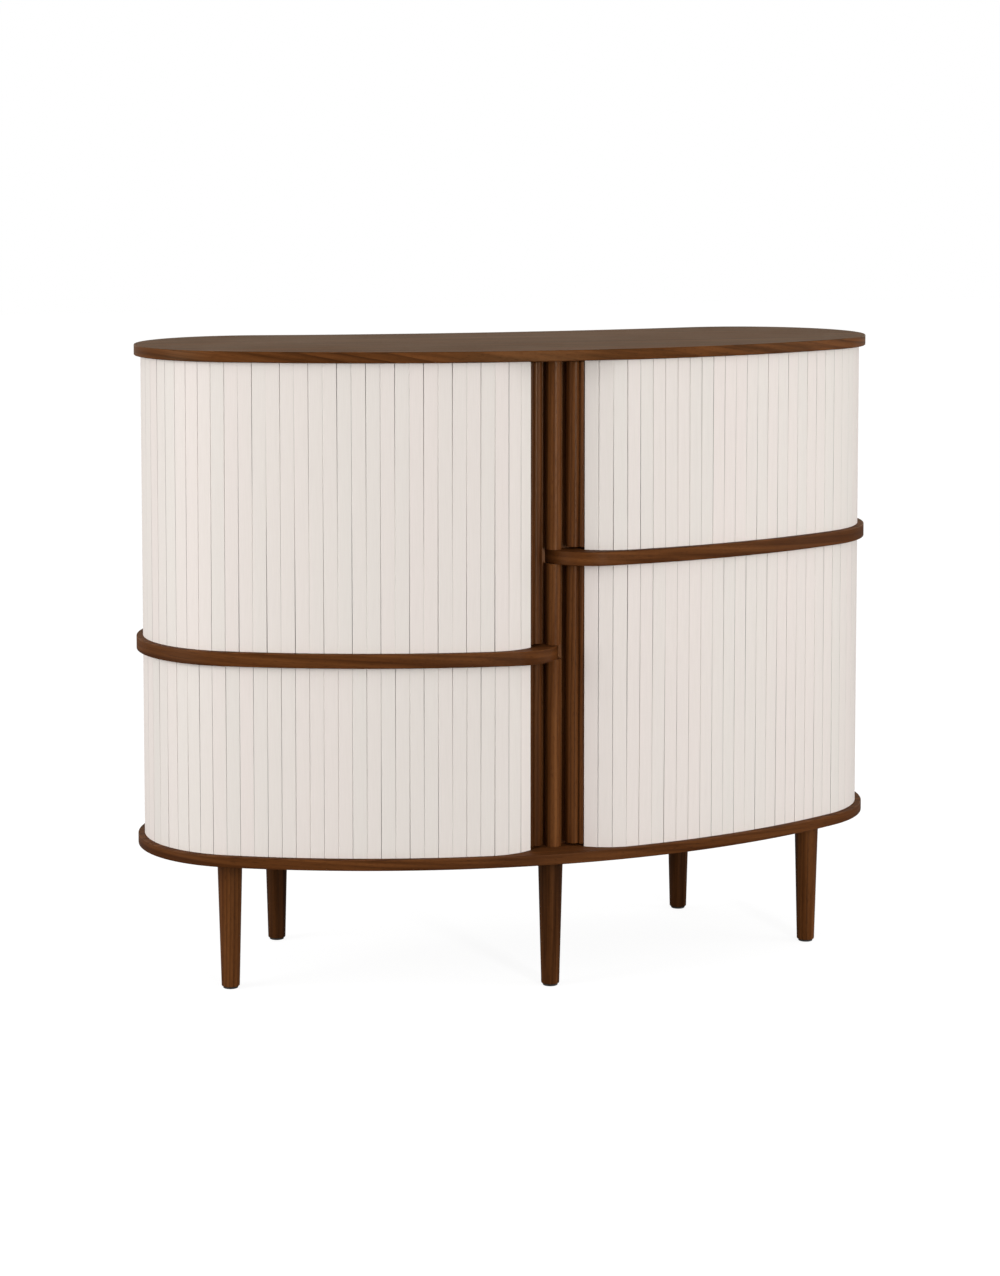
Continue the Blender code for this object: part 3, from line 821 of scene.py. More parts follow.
def fill_handling(graph: Graph) -> None:
    """Soft uneven patches, as use and dusting leave them.

    Args:
        graph: The group's empty graph.
    """
    graph.declare("NodeSocketVector", {"Vector": None})
    graph.declare("NodeSocketFloat", {"Patches Per Metre": 6.0})
    graph.promise("NodeSocketFloat", "Patch")
    given = graph.add("NodeGroupInput").outputs
    spot = graph.add("ShaderNodeTexNoise", {"Vector": given["Vector"], "Scale": given["Patches Per Metre"],
                                            "Detail": 3.0}).outputs["Fac"]
    graph.add("NodeGroupOutput", {"Patch": graph.spread(spot, *PATCH_RANGE)})


def new_material(name: str) -> tuple[Material, Graph, Node]:
    """A new node material.

    Args:
        name: Its name.

    Returns:
        The material, its graph and its Principled shader.
    """
    made = bpy.data.materials.new(name)
    made.use_nodes = True
    return made, Graph(made.node_tree), made.node_tree.nodes["Principled BSDF"]


@dataclass(frozen=True)
class Finish:
    """What a surface is made of."""

    name: str

    def wire(self, graph: Graph, shader: Node) -> None:
        """Fill the material's graph and feed its shader."""
        raise NotImplementedError

    def material(self) -> Material:
        """Make the finish's material when it is first asked for.

        Returns:
            The material.
        """
        made = bpy.data.materials.get(self.name)
        if made is None:
            made, graph, shader = new_material(self.name)
            self.wire(graph, shader)
        return made


@dataclass(frozen=True)
class WoodFinish(Finish):
    """Oiled walnut, cut so that its grain runs one way."""

    grain: Grain
    dark: Colour = (0.021, 0.0052, 0.0010)
    middle: Colour = (0.080, 0.0240, 0.0052)
    light: Colour = (0.150, 0.0550, 0.0150)
    ring_spacing: float = 0.0080
    ring_strength: float = 0.45
    fibre_strength: float = 0.22
    pore_strength: float = 0.55
    waviness: float = 0.020
    pith: Triple = (0.0, 0.62, 0.90)
    tilt: float = math.radians(1.6)
    roughness: float = 0.36
    flat_roughness: float = 0.36
    patch_roughness: float = 0.06
    patches: float = 5.0
    specular: float = 0.07
    gloss_tint: Colour = (1.0, 0.86, 0.70)
    relief: float = 0.6
    pore_depth: float = 0.00012
    edge_bend: float = 0.0
    edge_rise: float = 0.0

    def cut_place(self, graph: Graph, upright_face: Socket) -> Socket:
        """Where a point lies in the wood; with an edge bend, the grain of an edge follows it round.

        Args:
            graph: The material's graph.
            upright_face: One where a face stands upright and zero where it lies flat.

        Returns:
            The place.
        """
        place = graph.add("ShaderNodeTexCoord").outputs["Object"]
        if self.edge_bend == 0:
            return place
        x, y, z = graph.parts(place)
        bend = graph.times(graph.times(x, y), graph.times(upright_face, self.edge_bend))
        kept = graph.times(y, graph.math("SUBTRACT", 1.0, upright_face))
        risen = graph.math("MULTIPLY_ADD", x, graph.times(upright_face, self.edge_rise), z)
        return graph.combine(graph.math("SUBTRACT", x, bend), kept, risen)

    def wire(self, graph: Graph, shader: Node) -> None:
        """Fill the material's graph and feed its shader.

        Args:
            graph: The material's graph.
            shader: Its Principled shader.
        """
        normal = graph.add("ShaderNodeNewGeometry").outputs["True Normal"]
        flatness = graph.math("ABSOLUTE", graph.parts(normal)[2])
        place = self.cut_place(graph, graph.spread(flatness, *EDGE_FACES))
        turn = (*self.grain.value[:2], self.grain.value[2] + self.tilt)
        mapping = {"Vector": place, "Location": self.pith, "Rotation": turn}
        along = graph.add("ShaderNodeMapping", mapping).outputs[0]
        grain = graph.group("walnut_grain", fill_walnut_grain, {
            "Vector": along, "Ring Spacing": self.ring_spacing, "Waviness": self.waviness})
        colour = graph.mix(grain["Streaks"], self.middle, self.light)
        for mask, strength, tone in (("Rings", self.ring_strength, self.dark),
                                     ("Fibres", self.fibre_strength, self.light),
                                     ("Pores", self.pore_strength, self.dark)):
            colour = graph.mix(graph.times(grain[mask], strength), colour, tone)
        base = graph.spread(flatness, *FLAT_FACES, self.roughness, self.flat_roughness)
        patch = graph.handling(place, self.patches)
        graph.feed(shader, {"Base Color": colour,
                            "Roughness": graph.math("MULTIPLY_ADD", patch, self.patch_roughness, base),
                            "Specular IOR Level": self.specular, "Specular Tint": self.gloss_tint,
                            "Normal": graph.relief(self.relief, self.pore_depth, grain["Height"])})


@dataclass(frozen=True)
class TextileFinish(Finish):
    """Woven cover of the slats and their backing cloth, with painted shade in the weave's hollows and along
    the joints.
    """

    name: str = "slat_textile_cover"
    warm: Colour = (0.822, 0.745, 0.703)
    cool: Colour = (0.790, 0.742, 0.694)
    shade: Colour = (0.640, 0.585, 0.535)
    # Painted shade along the slat joints; the backing cloth also leans to it, partly as its own grey and
    # partly as painted shade in the gaps.
    joint: Colour = (0.390, 0.380, 0.370)
    threads: float = 1300.0
    slub_shade: float = 0.16
    # Painted shade in the hollows between the threads.
    weave_painted_shade: float = 0.10
    patch_shade: float = 0.05
    patches: float = 4.0
    roughness: float = 0.88
    roughness_spread: float = 0.04
    specular: float = 0.15
    sheen: float = 0.12
    sheen_roughness: float = 0.5
    relief: float = 0.5
    thread_height: float = 0.00010

    def wire(self, graph: Graph, shader: Node) -> None:
        """Fill the material's graph and feed its shader.

        Args:
            graph: The material's graph.
            shader: Its Principled shader.
        """
        place = graph.add("ShaderNodeTexCoord").outputs["Object"]
        weave = graph.group("plain_weave", fill_weave, {
            "Vector": graph.attribute("weave", "Vector"), "Threads Per Metre": self.threads})
        colour = graph.mix(graph.attribute("slat_tone"), self.warm, self.cool)
        # Slubs darken the cloth and handling soils it in patches; the hollows between the threads get painted
        # shade.
        for mask, strength in ((weave["Slub"], self.slub_shade),
                               (graph.math("SUBTRACT", 1.0, weave["Thread"]), self.weave_painted_shade),
                               (graph.handling(place, self.patches), self.patch_shade)):
            colour = graph.mix(graph.times(mask, strength), colour, self.shade)
        # Painted shade of the joints, patchy along their length.
        fading = graph.spread(graph.noise(place, JOINT_FADING), *FADING_RANGE)
        colour = graph.mix(graph.times(graph.attribute("joint"), fading), colour, self.joint)
        graph.feed(shader, {"Base Color": colour,
                            "Roughness": graph.varied(weave["Slub"], self.roughness, self.roughness_spread),
                            "Specular IOR Level": self.specular, "Sheen Weight": self.sheen,
                            "Sheen Roughness": self.sheen_roughness,
                            "Normal": graph.relief(self.relief, self.thread_height, weave["Height"])})


@dataclass(frozen=True)
class PlainFinish(Finish):
    """Zinc-plated steel or moulded plastic, mottled a little and finely rough."""

    colour: Colour
    mottle: Colour
    metallic: float
    roughness: float
    roughness_spread: float = 0.06
    patches: float = 90.0
    relief: float = 0.25
    grit: Triple = (2500.0, 2500.0, 2500.0)
    grit_height: float = 0.00005

    def wire(self, graph: Graph, shader: Node) -> None:
        """Fill the material's graph and feed its shader.

        Args:
            graph: The material's graph.
            shader: Its Principled shader.
        """
        place = graph.add("ShaderNodeTexCoord").outputs["Object"]
        patch = graph.handling(place, self.patches)
        grit = graph.noise(place, self.grit)
        graph.feed(shader, {"Base Color": graph.mix(patch, self.colour, self.mottle),
                            "Roughness": graph.varied(patch, self.roughness, self.roughness_spread),
                            "Metallic": self.metallic,
                            "Normal": graph.relief(self.relief, self.grit_height, grit)})


TOP_WOOD = WoodFinish("walnut_top", Grain.ALONG_WIDTH, middle=(0.056, 0.0172, 0.0036),
                      light=(0.146, 0.0500, 0.0140), ring_spacing=0.0075, ring_strength=0.95,
                      pith=(0.0, 0.55, -0.629), tilt=math.radians(2.2), flat_roughness=0.55, specular=0.074,
                      gloss_tint=(1.0, 0.86, 0.50), edge_bend=1.5, edge_rise=0.11)
BOARD_WOOD = WoodFinish("walnut_boards", Grain.ALONG_WIDTH, middle=(0.056, 0.0163, 0.0035),
                        light=(0.145, 0.0500, 0.0135), flat_roughness=0.62, edge_bend=1.5, edge_rise=0.05)
LEG_WOOD = WoodFinish("walnut_legs", Grain.UPRIGHT, middle=(0.084, 0.0250, 0.0053),
                      light=(0.160, 0.0565, 0.0152), ring_spacing=0.0065, ring_strength=0.90,
                      waviness=0.014, roughness=0.30, specular=0.12)
# Darker copies of the leg walnut for the front-centre leg and the back legs, which stand under the cabinet:
# painted shade.
SHADED_CENTRE_LEG_WOOD = replace(LEG_WOOD, name="walnut_dark_legs", middle=(0.028, 0.0080, 0.0016),
                        light=(0.136, 0.0470, 0.0125))
SHADED_BACK_LEG_WOOD = replace(LEG_WOOD, name="walnut_back_legs", middle=(0.016, 0.0045, 0.0010),
                        light=(0.082, 0.0280, 0.0075))
UPRIGHT_WOOD = replace(LEG_WOOD, name="walnut_uprights", middle=(0.080, 0.0236, 0.0050),
                       light=(0.154, 0.0540, 0.0145), roughness=0.28, specular=0.13)
# A lighter copy of the upright walnut for the post in its recess between the doors: painted light.
LIT_POST_WOOD = replace(UPRIGHT_WOOD, name="walnut_post_painted_light", middle=(0.102, 0.0315, 0.0070),
                    light=(0.200, 0.0730, 0.0205))
# A darker copy of the upright walnut for the left lead mouldings, which face away from the light: painted
# shade.
SHADED_LEFT_LEAD_WOOD = replace(UPRIGHT_WOOD, name="walnut_left_leads", middle=(0.050, 0.0146, 0.0030),
                         light=(0.110, 0.0375, 0.0100))
INNER_WOOD = WoodFinish("walnut_inside", Grain.ALONG_WIDTH, dark=(0.040, 0.013, 0.004),
                        middle=(0.105, 0.040, 0.013), light=(0.170, 0.076, 0.030), roughness=0.50,
                        flat_roughness=0.50)
INNER_UPRIGHT_WOOD = replace(INNER_WOOD, name="walnut_inside_upright", grain=Grain.UPRIGHT)
# The front legs take the plain leg walnut; the front-centre and back legs take its darker copies as painted
# shade.
LEG_FINISHES = {"front_left": LEG_WOOD, "front_right": LEG_WOOD, "front_centre": SHADED_CENTRE_LEG_WOOD,
                "back_left": SHADED_BACK_LEG_WOOD, "back_right": SHADED_BACK_LEG_WOOD}
TEXTILE = TextileFinish()
ZINC = PlainFinish("zinc_plated_steel", (0.62, 0.62, 0.61), (0.50, 0.51, 0.52), 1.0, 0.36)
GLIDE_PLASTIC = PlainFinish("black_glide_plastic", (0.022, 0.021, 0.020), (0.034, 0.032, 0.030), 0.0, 0.58)


@dataclass
class Slabs:
    """The top and the base panel and the two shelf boards, with their running grooves."""

    plan: Plan
    edge: Edge = Edge(radius=0.0015)
    groove_width: float = 0.0050
    groove_depth: float = 0.0040
    groove_lead: float = 0.020
    groove_stop: float = math.radians(178)
    bore_radius: float = 0.0043
    bore_depth: float = 0.0113
    bore_steps: int = 24

    def groove(self, side: Side, face: float, upward: bool) -> Mesh:
        """The cutter of a running groove.

        Args:
            side: The half that it lies in.
            face: Height of the board's face that it is cut into.
            upward: Whether that is the upper face.

        Returns:
            The cutter.
        """
        low = face - self.groove_depth if upward else face - OVERRUN
        high = face + OVERRUN if upward else face + self.groove_depth
        outline = self.plan.groove(self.groove_width, self.groove_lead, self.groove_stop)
        return board("groove", mirrored(outline, side), low, high)

    def whole_board(self, name: str, low: float, high: float) -> Mesh:
        """A board of the full outline."""
        right = self.plan.half_outline()
        return board(name, right + mirrored(right, Side.LEFT), low, high, self.edge)

    def top(self) -> None:
        """The top panel with the upper grooves on its underside."""
        plan = self.plan
        mesh = self.whole_board("top_panel_smooth", plan.top_underside, plan.height)
        cutters = [self.groove(side, plan.top_underside, False) for side in Side]
        place_piece(carved(mesh, cutters), BODY, ["top_panel"], TOP_WOOD.material())

    def base(self, legs: dict[str, Vector]) -> None:
        """The base panel with the lower grooves and a blind bore above each leg.

        Args:
            legs: Where the legs stand.
        """
        plan = self.plan
        mesh = self.whole_board("base_panel_smooth", plan.leg_height, plan.base_top)
        cutters = [self.groove(side, plan.base_top, True) for side in Side]
        low, high = plan.leg_height - OVERRUN, plan.leg_height + self.bore_depth
        profile = [(0, high), (self.bore_radius, high), (self.bore_radius, low), (0, low)]
        cutters += [turned("bore", profile, place, self.bore_steps) for place in legs.values()]
        place_piece(carved(mesh, cutters), BODY, ["base_panel"], BOARD_WOOD.material())

    def shelf_outline(self) -> list[Vector]:
        """A right-hand shelf board, whose front corner passes in front of the post.

        Returns:
            Its outline in plan.
        """
        plan = self.plan
        middle_y = plan.front_y + plan.flange_setback + plan.flange_thickness / 2
        gap = plan.divider_side + SEAT_GAP
        points = plan.shelf_corner(middle_y)
        points += arc(plan.front_centre, plan.front_radius, plan.corner_angle, plan.front_angle)
        points += arc(plan.end_centre, plan.end_radius, plan.front_angle, math.pi + plan.back_angle)
        points += arc(plan.back_centre, plan.back_radius, plan.back_angle, math.asin(gap / plan.back_radius))
        points.append(Vector((gap, middle_y)))
        return points

    def shelf(self, side: Side, low: float) -> None:
        """A fixed shelf board with a notch for the post's flange and grooves in both faces.

        Args:
            side: The half that it belongs to.
            low: Height of its underside.
        """
        plan = self.plan
        name = side.name.lower() + "_shelf_board"
        high = low + plan.board_thickness
        mesh = board(name + "_smooth", mirrored(self.shelf_outline(), side), low, high, self.edge)
        front = plan.front_y + plan.flange_setback
        ends = sorted((-side.value * (plan.flange_half_width + OVERRUN),
                       side.value * (plan.flange_half_width + SEAT_GAP)))
        notch = block((ends[0], front, low - OVERRUN),
                      (ends[1], front + plan.flange_thickness + SEAT_GAP, high + OVERRUN))
        cutters = [notch, self.groove(side, low, False), self.groove(side, high, True)]
        place_piece(carved(mesh, cutters), BODY, [name], BOARD_WOOD.material())

    def build(self, legs: dict[str, Vector]) -> None:
        """Make all four boards.

        Args:
            legs: Where the legs stand.
        """
        self.top()
        self.base(legs)
        self.shelf(Side.LEFT, self.plan.left_board_low)
        self.shelf(Side.RIGHT, self.plan.right_board_low)


@dataclass
class CentrePost:
    """The rounded post and its flange, notched where the shelf boards pass in front."""

    plan: Plan
    front_setback: float = 0.0464
    steps: int = 28

    def outline(self) -> list[Vector]:
        """The post's section: a half-round nose on a flat flange.

        Returns:
            Its outline in plan.
        """
        plan = self.plan
        nose = Vector((0, plan.front_y + self.front_setback + plan.post_radius))
        front = plan.front_y + plan.flange_setback
        back = front + plan.flange_thickness
        right = [around(nose, plan.post_radius, math.pi / 2 * i / self.steps) for i in range(self.steps + 1)]
        right += [Vector((plan.post_radius, front)), Vector((plan.flange_half_width, front)),
                  Vector((plan.flange_half_width, back))]
        return right + mirrored(right, Side.LEFT)

    def build(self) -> None:
        """Make the post."""
        plan = self.plan
        low, high = plan.base_top + SEAT_GAP, plan.top_underside - SEAT_GAP
        reach = plan.flange_half_width + OVERRUN
        cutters = []
        for board_low in (plan.left_board_low, plan.right_board_low):
            cutters.append(block((-reach, plan.front_y, board_low - SEAT_GAP),
                                 (reach, plan.front_y + plan.flange_setback + SEAT_GAP,
                                  board_low + plan.board_thickness + SEAT_GAP)))
        mesh = carved(board("centre_post_smooth", self.outline(), low, high), cutters)
        # The post takes the lighter copy of the upright walnut: painted light.
        place_piece(mesh, BODY, ["centre_post"], LIT_POST_WOOD.material())


@dataclass
class Carcass:
    """What stands inside: the divider, the back panels and the inner shelves."""

    plan: Plan
    run_gap: float = 0.0015
    back_thickness: float = 0.009
    back_start: float = math.radians(100)
    dado_depth: float = 0.005
    housing_depth: float = 0.004
    housing_start: float = math.radians(112)
    shelf_thickness: float = 0.016
    shelf_setback: float = 0.077
    notch_gap: float = 0.004
    edge: Edge = Edge(radius=0.0008, steps=3, support=0.0003)

    @property
    def outer_inset(self) -> float:
        """Inset of the back panels' outer face."""
        return self.plan.ledge + self.plan.slat_thickness + self.run_gap

    @property
    def inner_inset(self) -> float:
        """Inset of the back panels' inner face."""
        return self.outer_inset + self.back_thickness

    @property
    def housing_inset(self) -> float:
        """Inset to which the inner shelves are let in."""
        return self.inner_inset - self.housing_depth

    def back(self, name: str, side: Side, low: float, high: float, shelf_low: float | None) -> None:
        """A curved back panel behind one compartment, housed out for its inner shelf.

        Args:
            name: The panel's name.
            side: The half that it closes.
            low: Height of the compartment's floor.
            high: Height of its ceiling.
            shelf_low: Height of its inner shelf's underside, or None.
        """
        strip = self.plan.back_strip(self.outer_inset, self.inner_inset, self.back_start,
                                     self.plan.divider_side + SEAT_GAP)
        mesh = board(name + "_smooth", mirrored(strip, side), low + SEAT_GAP, high - SEAT_GAP)
        if shelf_low is not None:
            start = self.housing_start - SEAT_GAP / (self.plan.end_radius - self.housing_inset)
            housing = self.plan.back_strip(self.housing_inset, self.inner_inset + OVERRUN, start, 0)
            cutter = board("housing", mirrored(housing, side), shelf_low - SEAT_GAP,
                           shelf_low + self.shelf_thickness + SEAT_GAP)
            mesh = carved(mesh, [cutter])
        place_piece(mesh, BODY, [name], UPRIGHT_WOOD.material())

    def inner_shelf(self, name: str, side: Side, low: float) -> None:
        """An inner shelf that is let into the divider and the back panel.

        Args:
            name: Its name.
            side: The half that it belongs to.
            low: Height of its underside.
        """
        plan = self.plan
        inner_x = plan.divider_side - self.dado_depth + SEAT_GAP
        notch_x = plan.flange_half_width + self.notch_gap
        notch_y = plan.front_y + plan.flange_setback + plan.flange_thickness + self.notch_gap
        front_radius = plan.front_radius - self.shelf_setback
        housed = self.housing_inset + SEAT_GAP
        back_radius = plan.back_radius + housed
        points = [Vector((inner_x, notch_y)), Vector((notch_x, notch_y))]
        points += arc(plan.front_centre, front_radius, math.asin(notch_x / front_radius), plan.front_angle)
        end_radius = plan.end_radius - self.shelf_setback
        points += arc(plan.end_centre, end_radius, plan.front_angle, self.housing_start)
        end_radius = plan.end_radius - housed
        points += arc(plan.end_centre, end_radius, self.housing_start, math.pi + plan.back_angle)
        points += arc(plan.back_centre, back_radius, plan.back_angle, math.asin(inner_x / back_radius))
        mesh = board(name + "_smooth", mirrored(points, side), low, low + self.shelf_thickness, self.edge)
        place_piece(mesh, BODY, [name], INNER_WOOD.material())

    def build(self) -> None:
        """Make the back panels and the inner shelves, and finish the divider."""
        for name, (side, low, high) in self.plan.compartments.items():
            shelf_name = name + "_inner_shelf"
            shelf_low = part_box(shelf_name)[0].z if shelf_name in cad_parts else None
            self.back(name + "_back_panel", side, low, high, shelf_low)
            if shelf_low is not None:
                self.inner_shelf(shelf_name, side, shelf_low)
        dress(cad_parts["centre_divider"].data, INNER_UPRIGHT_WOOD.material())


@dataclass
class Legs:
    """Five tapered legs with their bolts and glides."""

    plan: Plan
    top_radius: float = 0.021
    foot_radius: float = 0.01525
    foot_round: float = 0.002
    round_steps: int = 5
    bolt_radius: float = 0.004
    bolt_in_leg: float = 0.032
    glide_radius: float = 0.0125
    glide_thickness: float = 0.003
    glide_edge: float = 0.0006
    pin_radius: float = 0.0025
    pin_length: float = 0.010
    steps: int = 64
    rise_steps: int = 8
    front_inset: float = 0.0763
    side_inset: float = 0.0765
    side_angle: float = math.radians(35.3)
    back_inset: float = 0.0270
    back_angle: float = math.radians(200.3)

    def places(self) -> dict[str, Vector]:
        """Where the legs stand.

        Returns:
            The axis of each leg in plan, by name.
        """
        plan = self.plan
        side = around(plan.end_centre, plan.end_radius - self.side_inset, self.side_angle)
        back = around(plan.end_centre, plan.end_radius - self.back_inset, self.back_angle)
        return {"front_left": Vector((-side.x, side.y)),
                "front_centre": Vector((0, plan.front_y + self.front_inset)),
                "front_right": side,
                "back_left": Vector((-back.x, back.y)),
                "back_right": back}

    def leg(self, name: str, place: Vector) -> None:
        """A tapered leg with a bore for its bolt above and one for its glide's pin below.

        Args:
            name: Where it stands, in words.
            place: Its axis in plan.
        """
        top = self.plan.leg_height - SEAT_GAP
        foot = self.glide_thickness + SEAT_GAP
        bore = self.bolt_radius + SEAT_GAP
        pin = self.pin_radius + SEAT_GAP
        bore_floor = self.plan.leg_height - self.bolt_in_leg - SEAT_GAP
        pin_ceiling = foot + self.pin_length + SEAT_GAP
        profile = [(0, bore_floor), (bore, bore_floor), (bore, top)]
        shoulder = foot + self.foot_round
        for i in range(self.rise_steps):
            share = i / self.rise_steps
            profile.append((self.top_radius + (self.foot_radius - self.top_radius) * share,
                            top + (shoulder - top) * share))
        centre = self.foot_radius - self.foot_round
        for i in range(self.round_steps + 1):
            angle = math.pi / 2 * i / self.round_steps
            profile.append((centre + self.foot_round * math.cos(angle),
                            foot + self.foot_round * (1 - math.sin(angle))))
        profile += [(pin, foot), (pin, pin_ceiling), (0, pin_ceiling)]
        mesh = turned("leg_" + name + "_smooth", profile, place, self.steps)
        # Legs under the cabinet take a darker walnut as painted shade.
        place_piece(mesh, BODY, ["leg_" + name], LEG_FINISHES[name].material())

    def glide(self, name: str, place: Vector) -> None:
        """The plastic glide under a leg, with the pin that holds it.

        Args:
            name: Where the leg stands, in words.
            place: Its axis in plan.
        """
        pin_top = self.glide_thickness + self.pin_length
        edge, radius, high = self.glide_edge, self.glide_radius, self.glide_thickness
        profile = [(0, pin_top), (self.pin_radius, pin_top), (self.pin_radius, high), (radius - edge, high),
                   (radius, high - edge), (radius, edge), (radius - edge, 0), (0, 0)]
        mesh = turned("glide_" + name + "_smooth", profile, place, self.steps)
        place_piece(mesh, BODY, ["glide_" + name], GLIDE_PLASTIC.material())

    def build(self) -> None:
        """Make the legs and glides, and finish the bolts."""
        for name, place in self.places().items():
            self.leg(name, place)
            self.glide(name, place)
            dress(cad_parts["leg_bolt_" + name].data, ZINC.material())


# Tambour: points round a slat, the part of its width that counts as its edge for the painted joint shade, and
# its small irregularities
SLAT_POINTS = 40
SLAT_EDGE = (0.94, 1.0)
PAIR_START = 31.7
PAIR_PATCHES = (0.30, 0.65, 0.15, 1.0)
PAIR_STRENGTHS = (0.4, 1.0)
HELD_LENGTHS = (0.02, 0.12)
# How much painted shade each slat's joint gets.
JOINT_OPENNESS = (0.1, 1.0)

# Tambour: what each kind of random number adds to the seed
WIDTH_STEP, LEAN_STEP, TONE_STEP, STRENGTH_STEP, OPENNESS_STEP = 11.0, 23.0, 37.0, 51.0, 67.0


def fill_tambour(graph: Graph) -> None:
    """Slats on a backing cloth, along a path whose points say where each slat stands.

    Args:
        graph: The tree's empty graph.
    """
    graph.declare("NodeSocketGeometry", {"Path": None})
    graph.declare("NodeSocketFloat", {
        "Slat Width": 0.0228, "Slat Thickness": 0.0078, "Slat Height": 0.4, "Squareness": 11.0, "Wedge": 0.9,
        "Cloth Thickness": 0.0006, "Cloth Depth": 0.0037, "Tenon Width": 0.014, "Tenon Thickness": 0.0034,
        "Tenon Length": 0.007, "Tenon Height": 0.2, "Width Spread": 0.01, "Lean Spread": 0.0005,
        "Pair Lean": 0.001, "Sway": 0.008, "Sway Length": 0.25, "Sway Seed": 1.0})
    graph.declare("NodeSocketInt", {"Seed": 1})
    graph.declare("NodeSocketMaterial", {"Textile": None, "Tenon Wood": None})
    graph.promise("NodeSocketGeometry", "Tambour")
    given = graph.add("NodeGroupInput").outputs

    def made(kind: str, inputs: dict[str, Setting]) -> Socket:
        """The shape that a node makes, its first output."""
        return graph.add(kind, inputs).outputs[0]

    def attribute(name: str, kind: str = "FLOAT") -> Socket:
        """A named attribute of the path or of a shape."""
        node = graph.add("GeometryNodeInputNamedAttribute", {"Name": name}, data_type=kind)
        return switched_on(node.outputs, "Attribute")

    def stored(shape: Socket, name: str, value: Setting, kind: str = "FLOAT",
               domain: str = "POINT") -> Socket:
        """A shape with a named attribute."""
        inputs = {"Geometry": shape, "Name": name, "Value": value}
        return graph.add("GeometryNodeStoreNamedAttribute", inputs, data_type=kind, domain=domain).outputs[0]

    def random(low: Setting, high: Setting, step: float) -> Socket:
        """A seeded random number for each slat."""
        inputs = {"Min": low, "Max": high, "Seed": graph.math("ADD", given["Seed"], step)}
        return switched_on(graph.add("FunctionNodeRandomValue", inputs, data_type="FLOAT").outputs, "Value")

    def drift(along: Socket, start: float) -> Socket:
        """Slow noise along the path."""
        inputs = {"W": graph.math("ADD", along, start), "Scale": 1.0, "Detail": 0.0}
        return graph.add("ShaderNodeTexNoise", inputs, noise_dimensions="1D").outputs["Fac"]

    def joined(*shapes: Socket) -> Socket:
        """Join several shapes.

        Args:
            shapes: The shapes.

        Returns:
            Them all as one.
        """
        node = graph.add("GeometryNodeJoinGeometry")
        for shape in shapes:
            graph.feed(node, {0: shape})
        return node.outputs[0]

    circle = made("GeometryNodeCurvePrimitiveCircle", {"Resolution": SLAT_POINTS, "Radius": 1.0})
    position = graph.add("GeometryNodeInputPosition").outputs[0]
    parts = graph.parts(position)
    power = graph.math("DIVIDE", 2.0, given["Squareness"])
    half_width = graph.times(given["Slat Width"], 0.5)
    sizes = []
    for part, size in ((parts[0], half_width), (parts[1], graph.times(given["Slat Thickness"], 0.5))):
        reach = graph.math("POWER", graph.math("ABSOLUTE", part), power)
        sizes.append(graph.times(graph.math("SIGN", part), reach, size))
    section = made("GeometryNodeSetPosition", {"Geometry": circle, "Position": graph.combine(*sizes, 0.0)})
    low, high = [graph.combine(0.0, 0.0, graph.times(given["Slat Height"], share)) for share in (-0.5, 0.5)]
    upright = made("GeometryNodeCurvePrimitiveLine", {"Start": low, "End": high})
    slat = made("GeometryNodeCurveToMesh", {"Curve": upright, "Profile Curve": section, "Fill Caps": True})
    slat = stored(slat, "weave", position, "FLOAT_VECTOR")
    reach = graph.math("DIVIDE", graph.math("ABSOLUTE", parts[0]), half_width)
    slat = stored(slat, "edge", graph.spread(reach, *SLAT_EDGE))

    heading, length = attribute("heading"), attribute("length")
    spread, lone_lean = given["Width Spread"], given["Lean Spread"]
    wide = graph.math("ADD", 1.0, random(graph.times(spread, -1.0), spread, WIDTH_STEP))
    alone = random(graph.times(lone_lean, -1.0), lone_lean, LEAN_STEP)
    along = graph.math("ADD", graph.math("DIVIDE", length, given["Sway Length"]), given["Sway Seed"])
    patchy = graph.spread(drift(along, PAIR_START), *PAIR_PATCHES)
    strength = graph.times(random(*PAIR_STRENGTHS, STRENGTH_STEP), patchy)
    pair = graph.times(attribute("pair"), strength)
    paired = graph.math("MULTIPLY_ADD", pair, given["Pair Lean"], alone)
    held = graph.times(graph.spread(length, *HELD_LENGTHS), 2.0)
    swayed = graph.times(graph.math("SUBTRACT", drift(along, 0.0), 0.5), held)
    lean = graph.math("MULTIPLY_ADD", swayed, given["Sway"], paired)
    slats = made("GeometryNodeInstanceOnPoints", {
        "Points": given["Path"], "Selection": attribute("slat", "BOOLEAN"), "Instance": slat,
        "Rotation": graph.combine(0.0, lean, heading), "Scale": graph.combine(wide, 1.0, 1.0)})
    slats = stored(slats, "slat_tone", random(0.0, 1.0, TONE_STEP), domain="INSTANCE")
    slats = stored(slats, "openness", random(*JOINT_OPENNESS, OPENNESS_STEP), domain="INSTANCE")
    slats = made("GeometryNodeRealizeInstances", {"Geometry": slats})
    # Painted shade along the slat edges, where the joints would be in shade.
    slats = stored(slats, "joint", graph.times(attribute("edge"), attribute("openness")))
    local = graph.parts(attribute("weave", "FLOAT_VECTOR"))
    inside = graph.math("GREATER_THAN", local[1], 0.0)
    tighter = graph.math("SUBTRACT", attribute("inner_bend"), attribute("bend"))
    bend = graph.math("MULTIPLY_ADD", inside, tighter, attribute("bend"))
    outward = graph.times(local[1], -1.0, bend)
    wedge = graph.times(graph.times(local[0], outward), given["Wedge"])
    offset = graph.combine(graph.times(graph.math("COSINE", heading), wedge),
                           graph.times(graph.math("SINE", heading), wedge), 0.0)
    slats = made("GeometryNodeSetPosition", {"Geometry": slats, "Offset": offset})

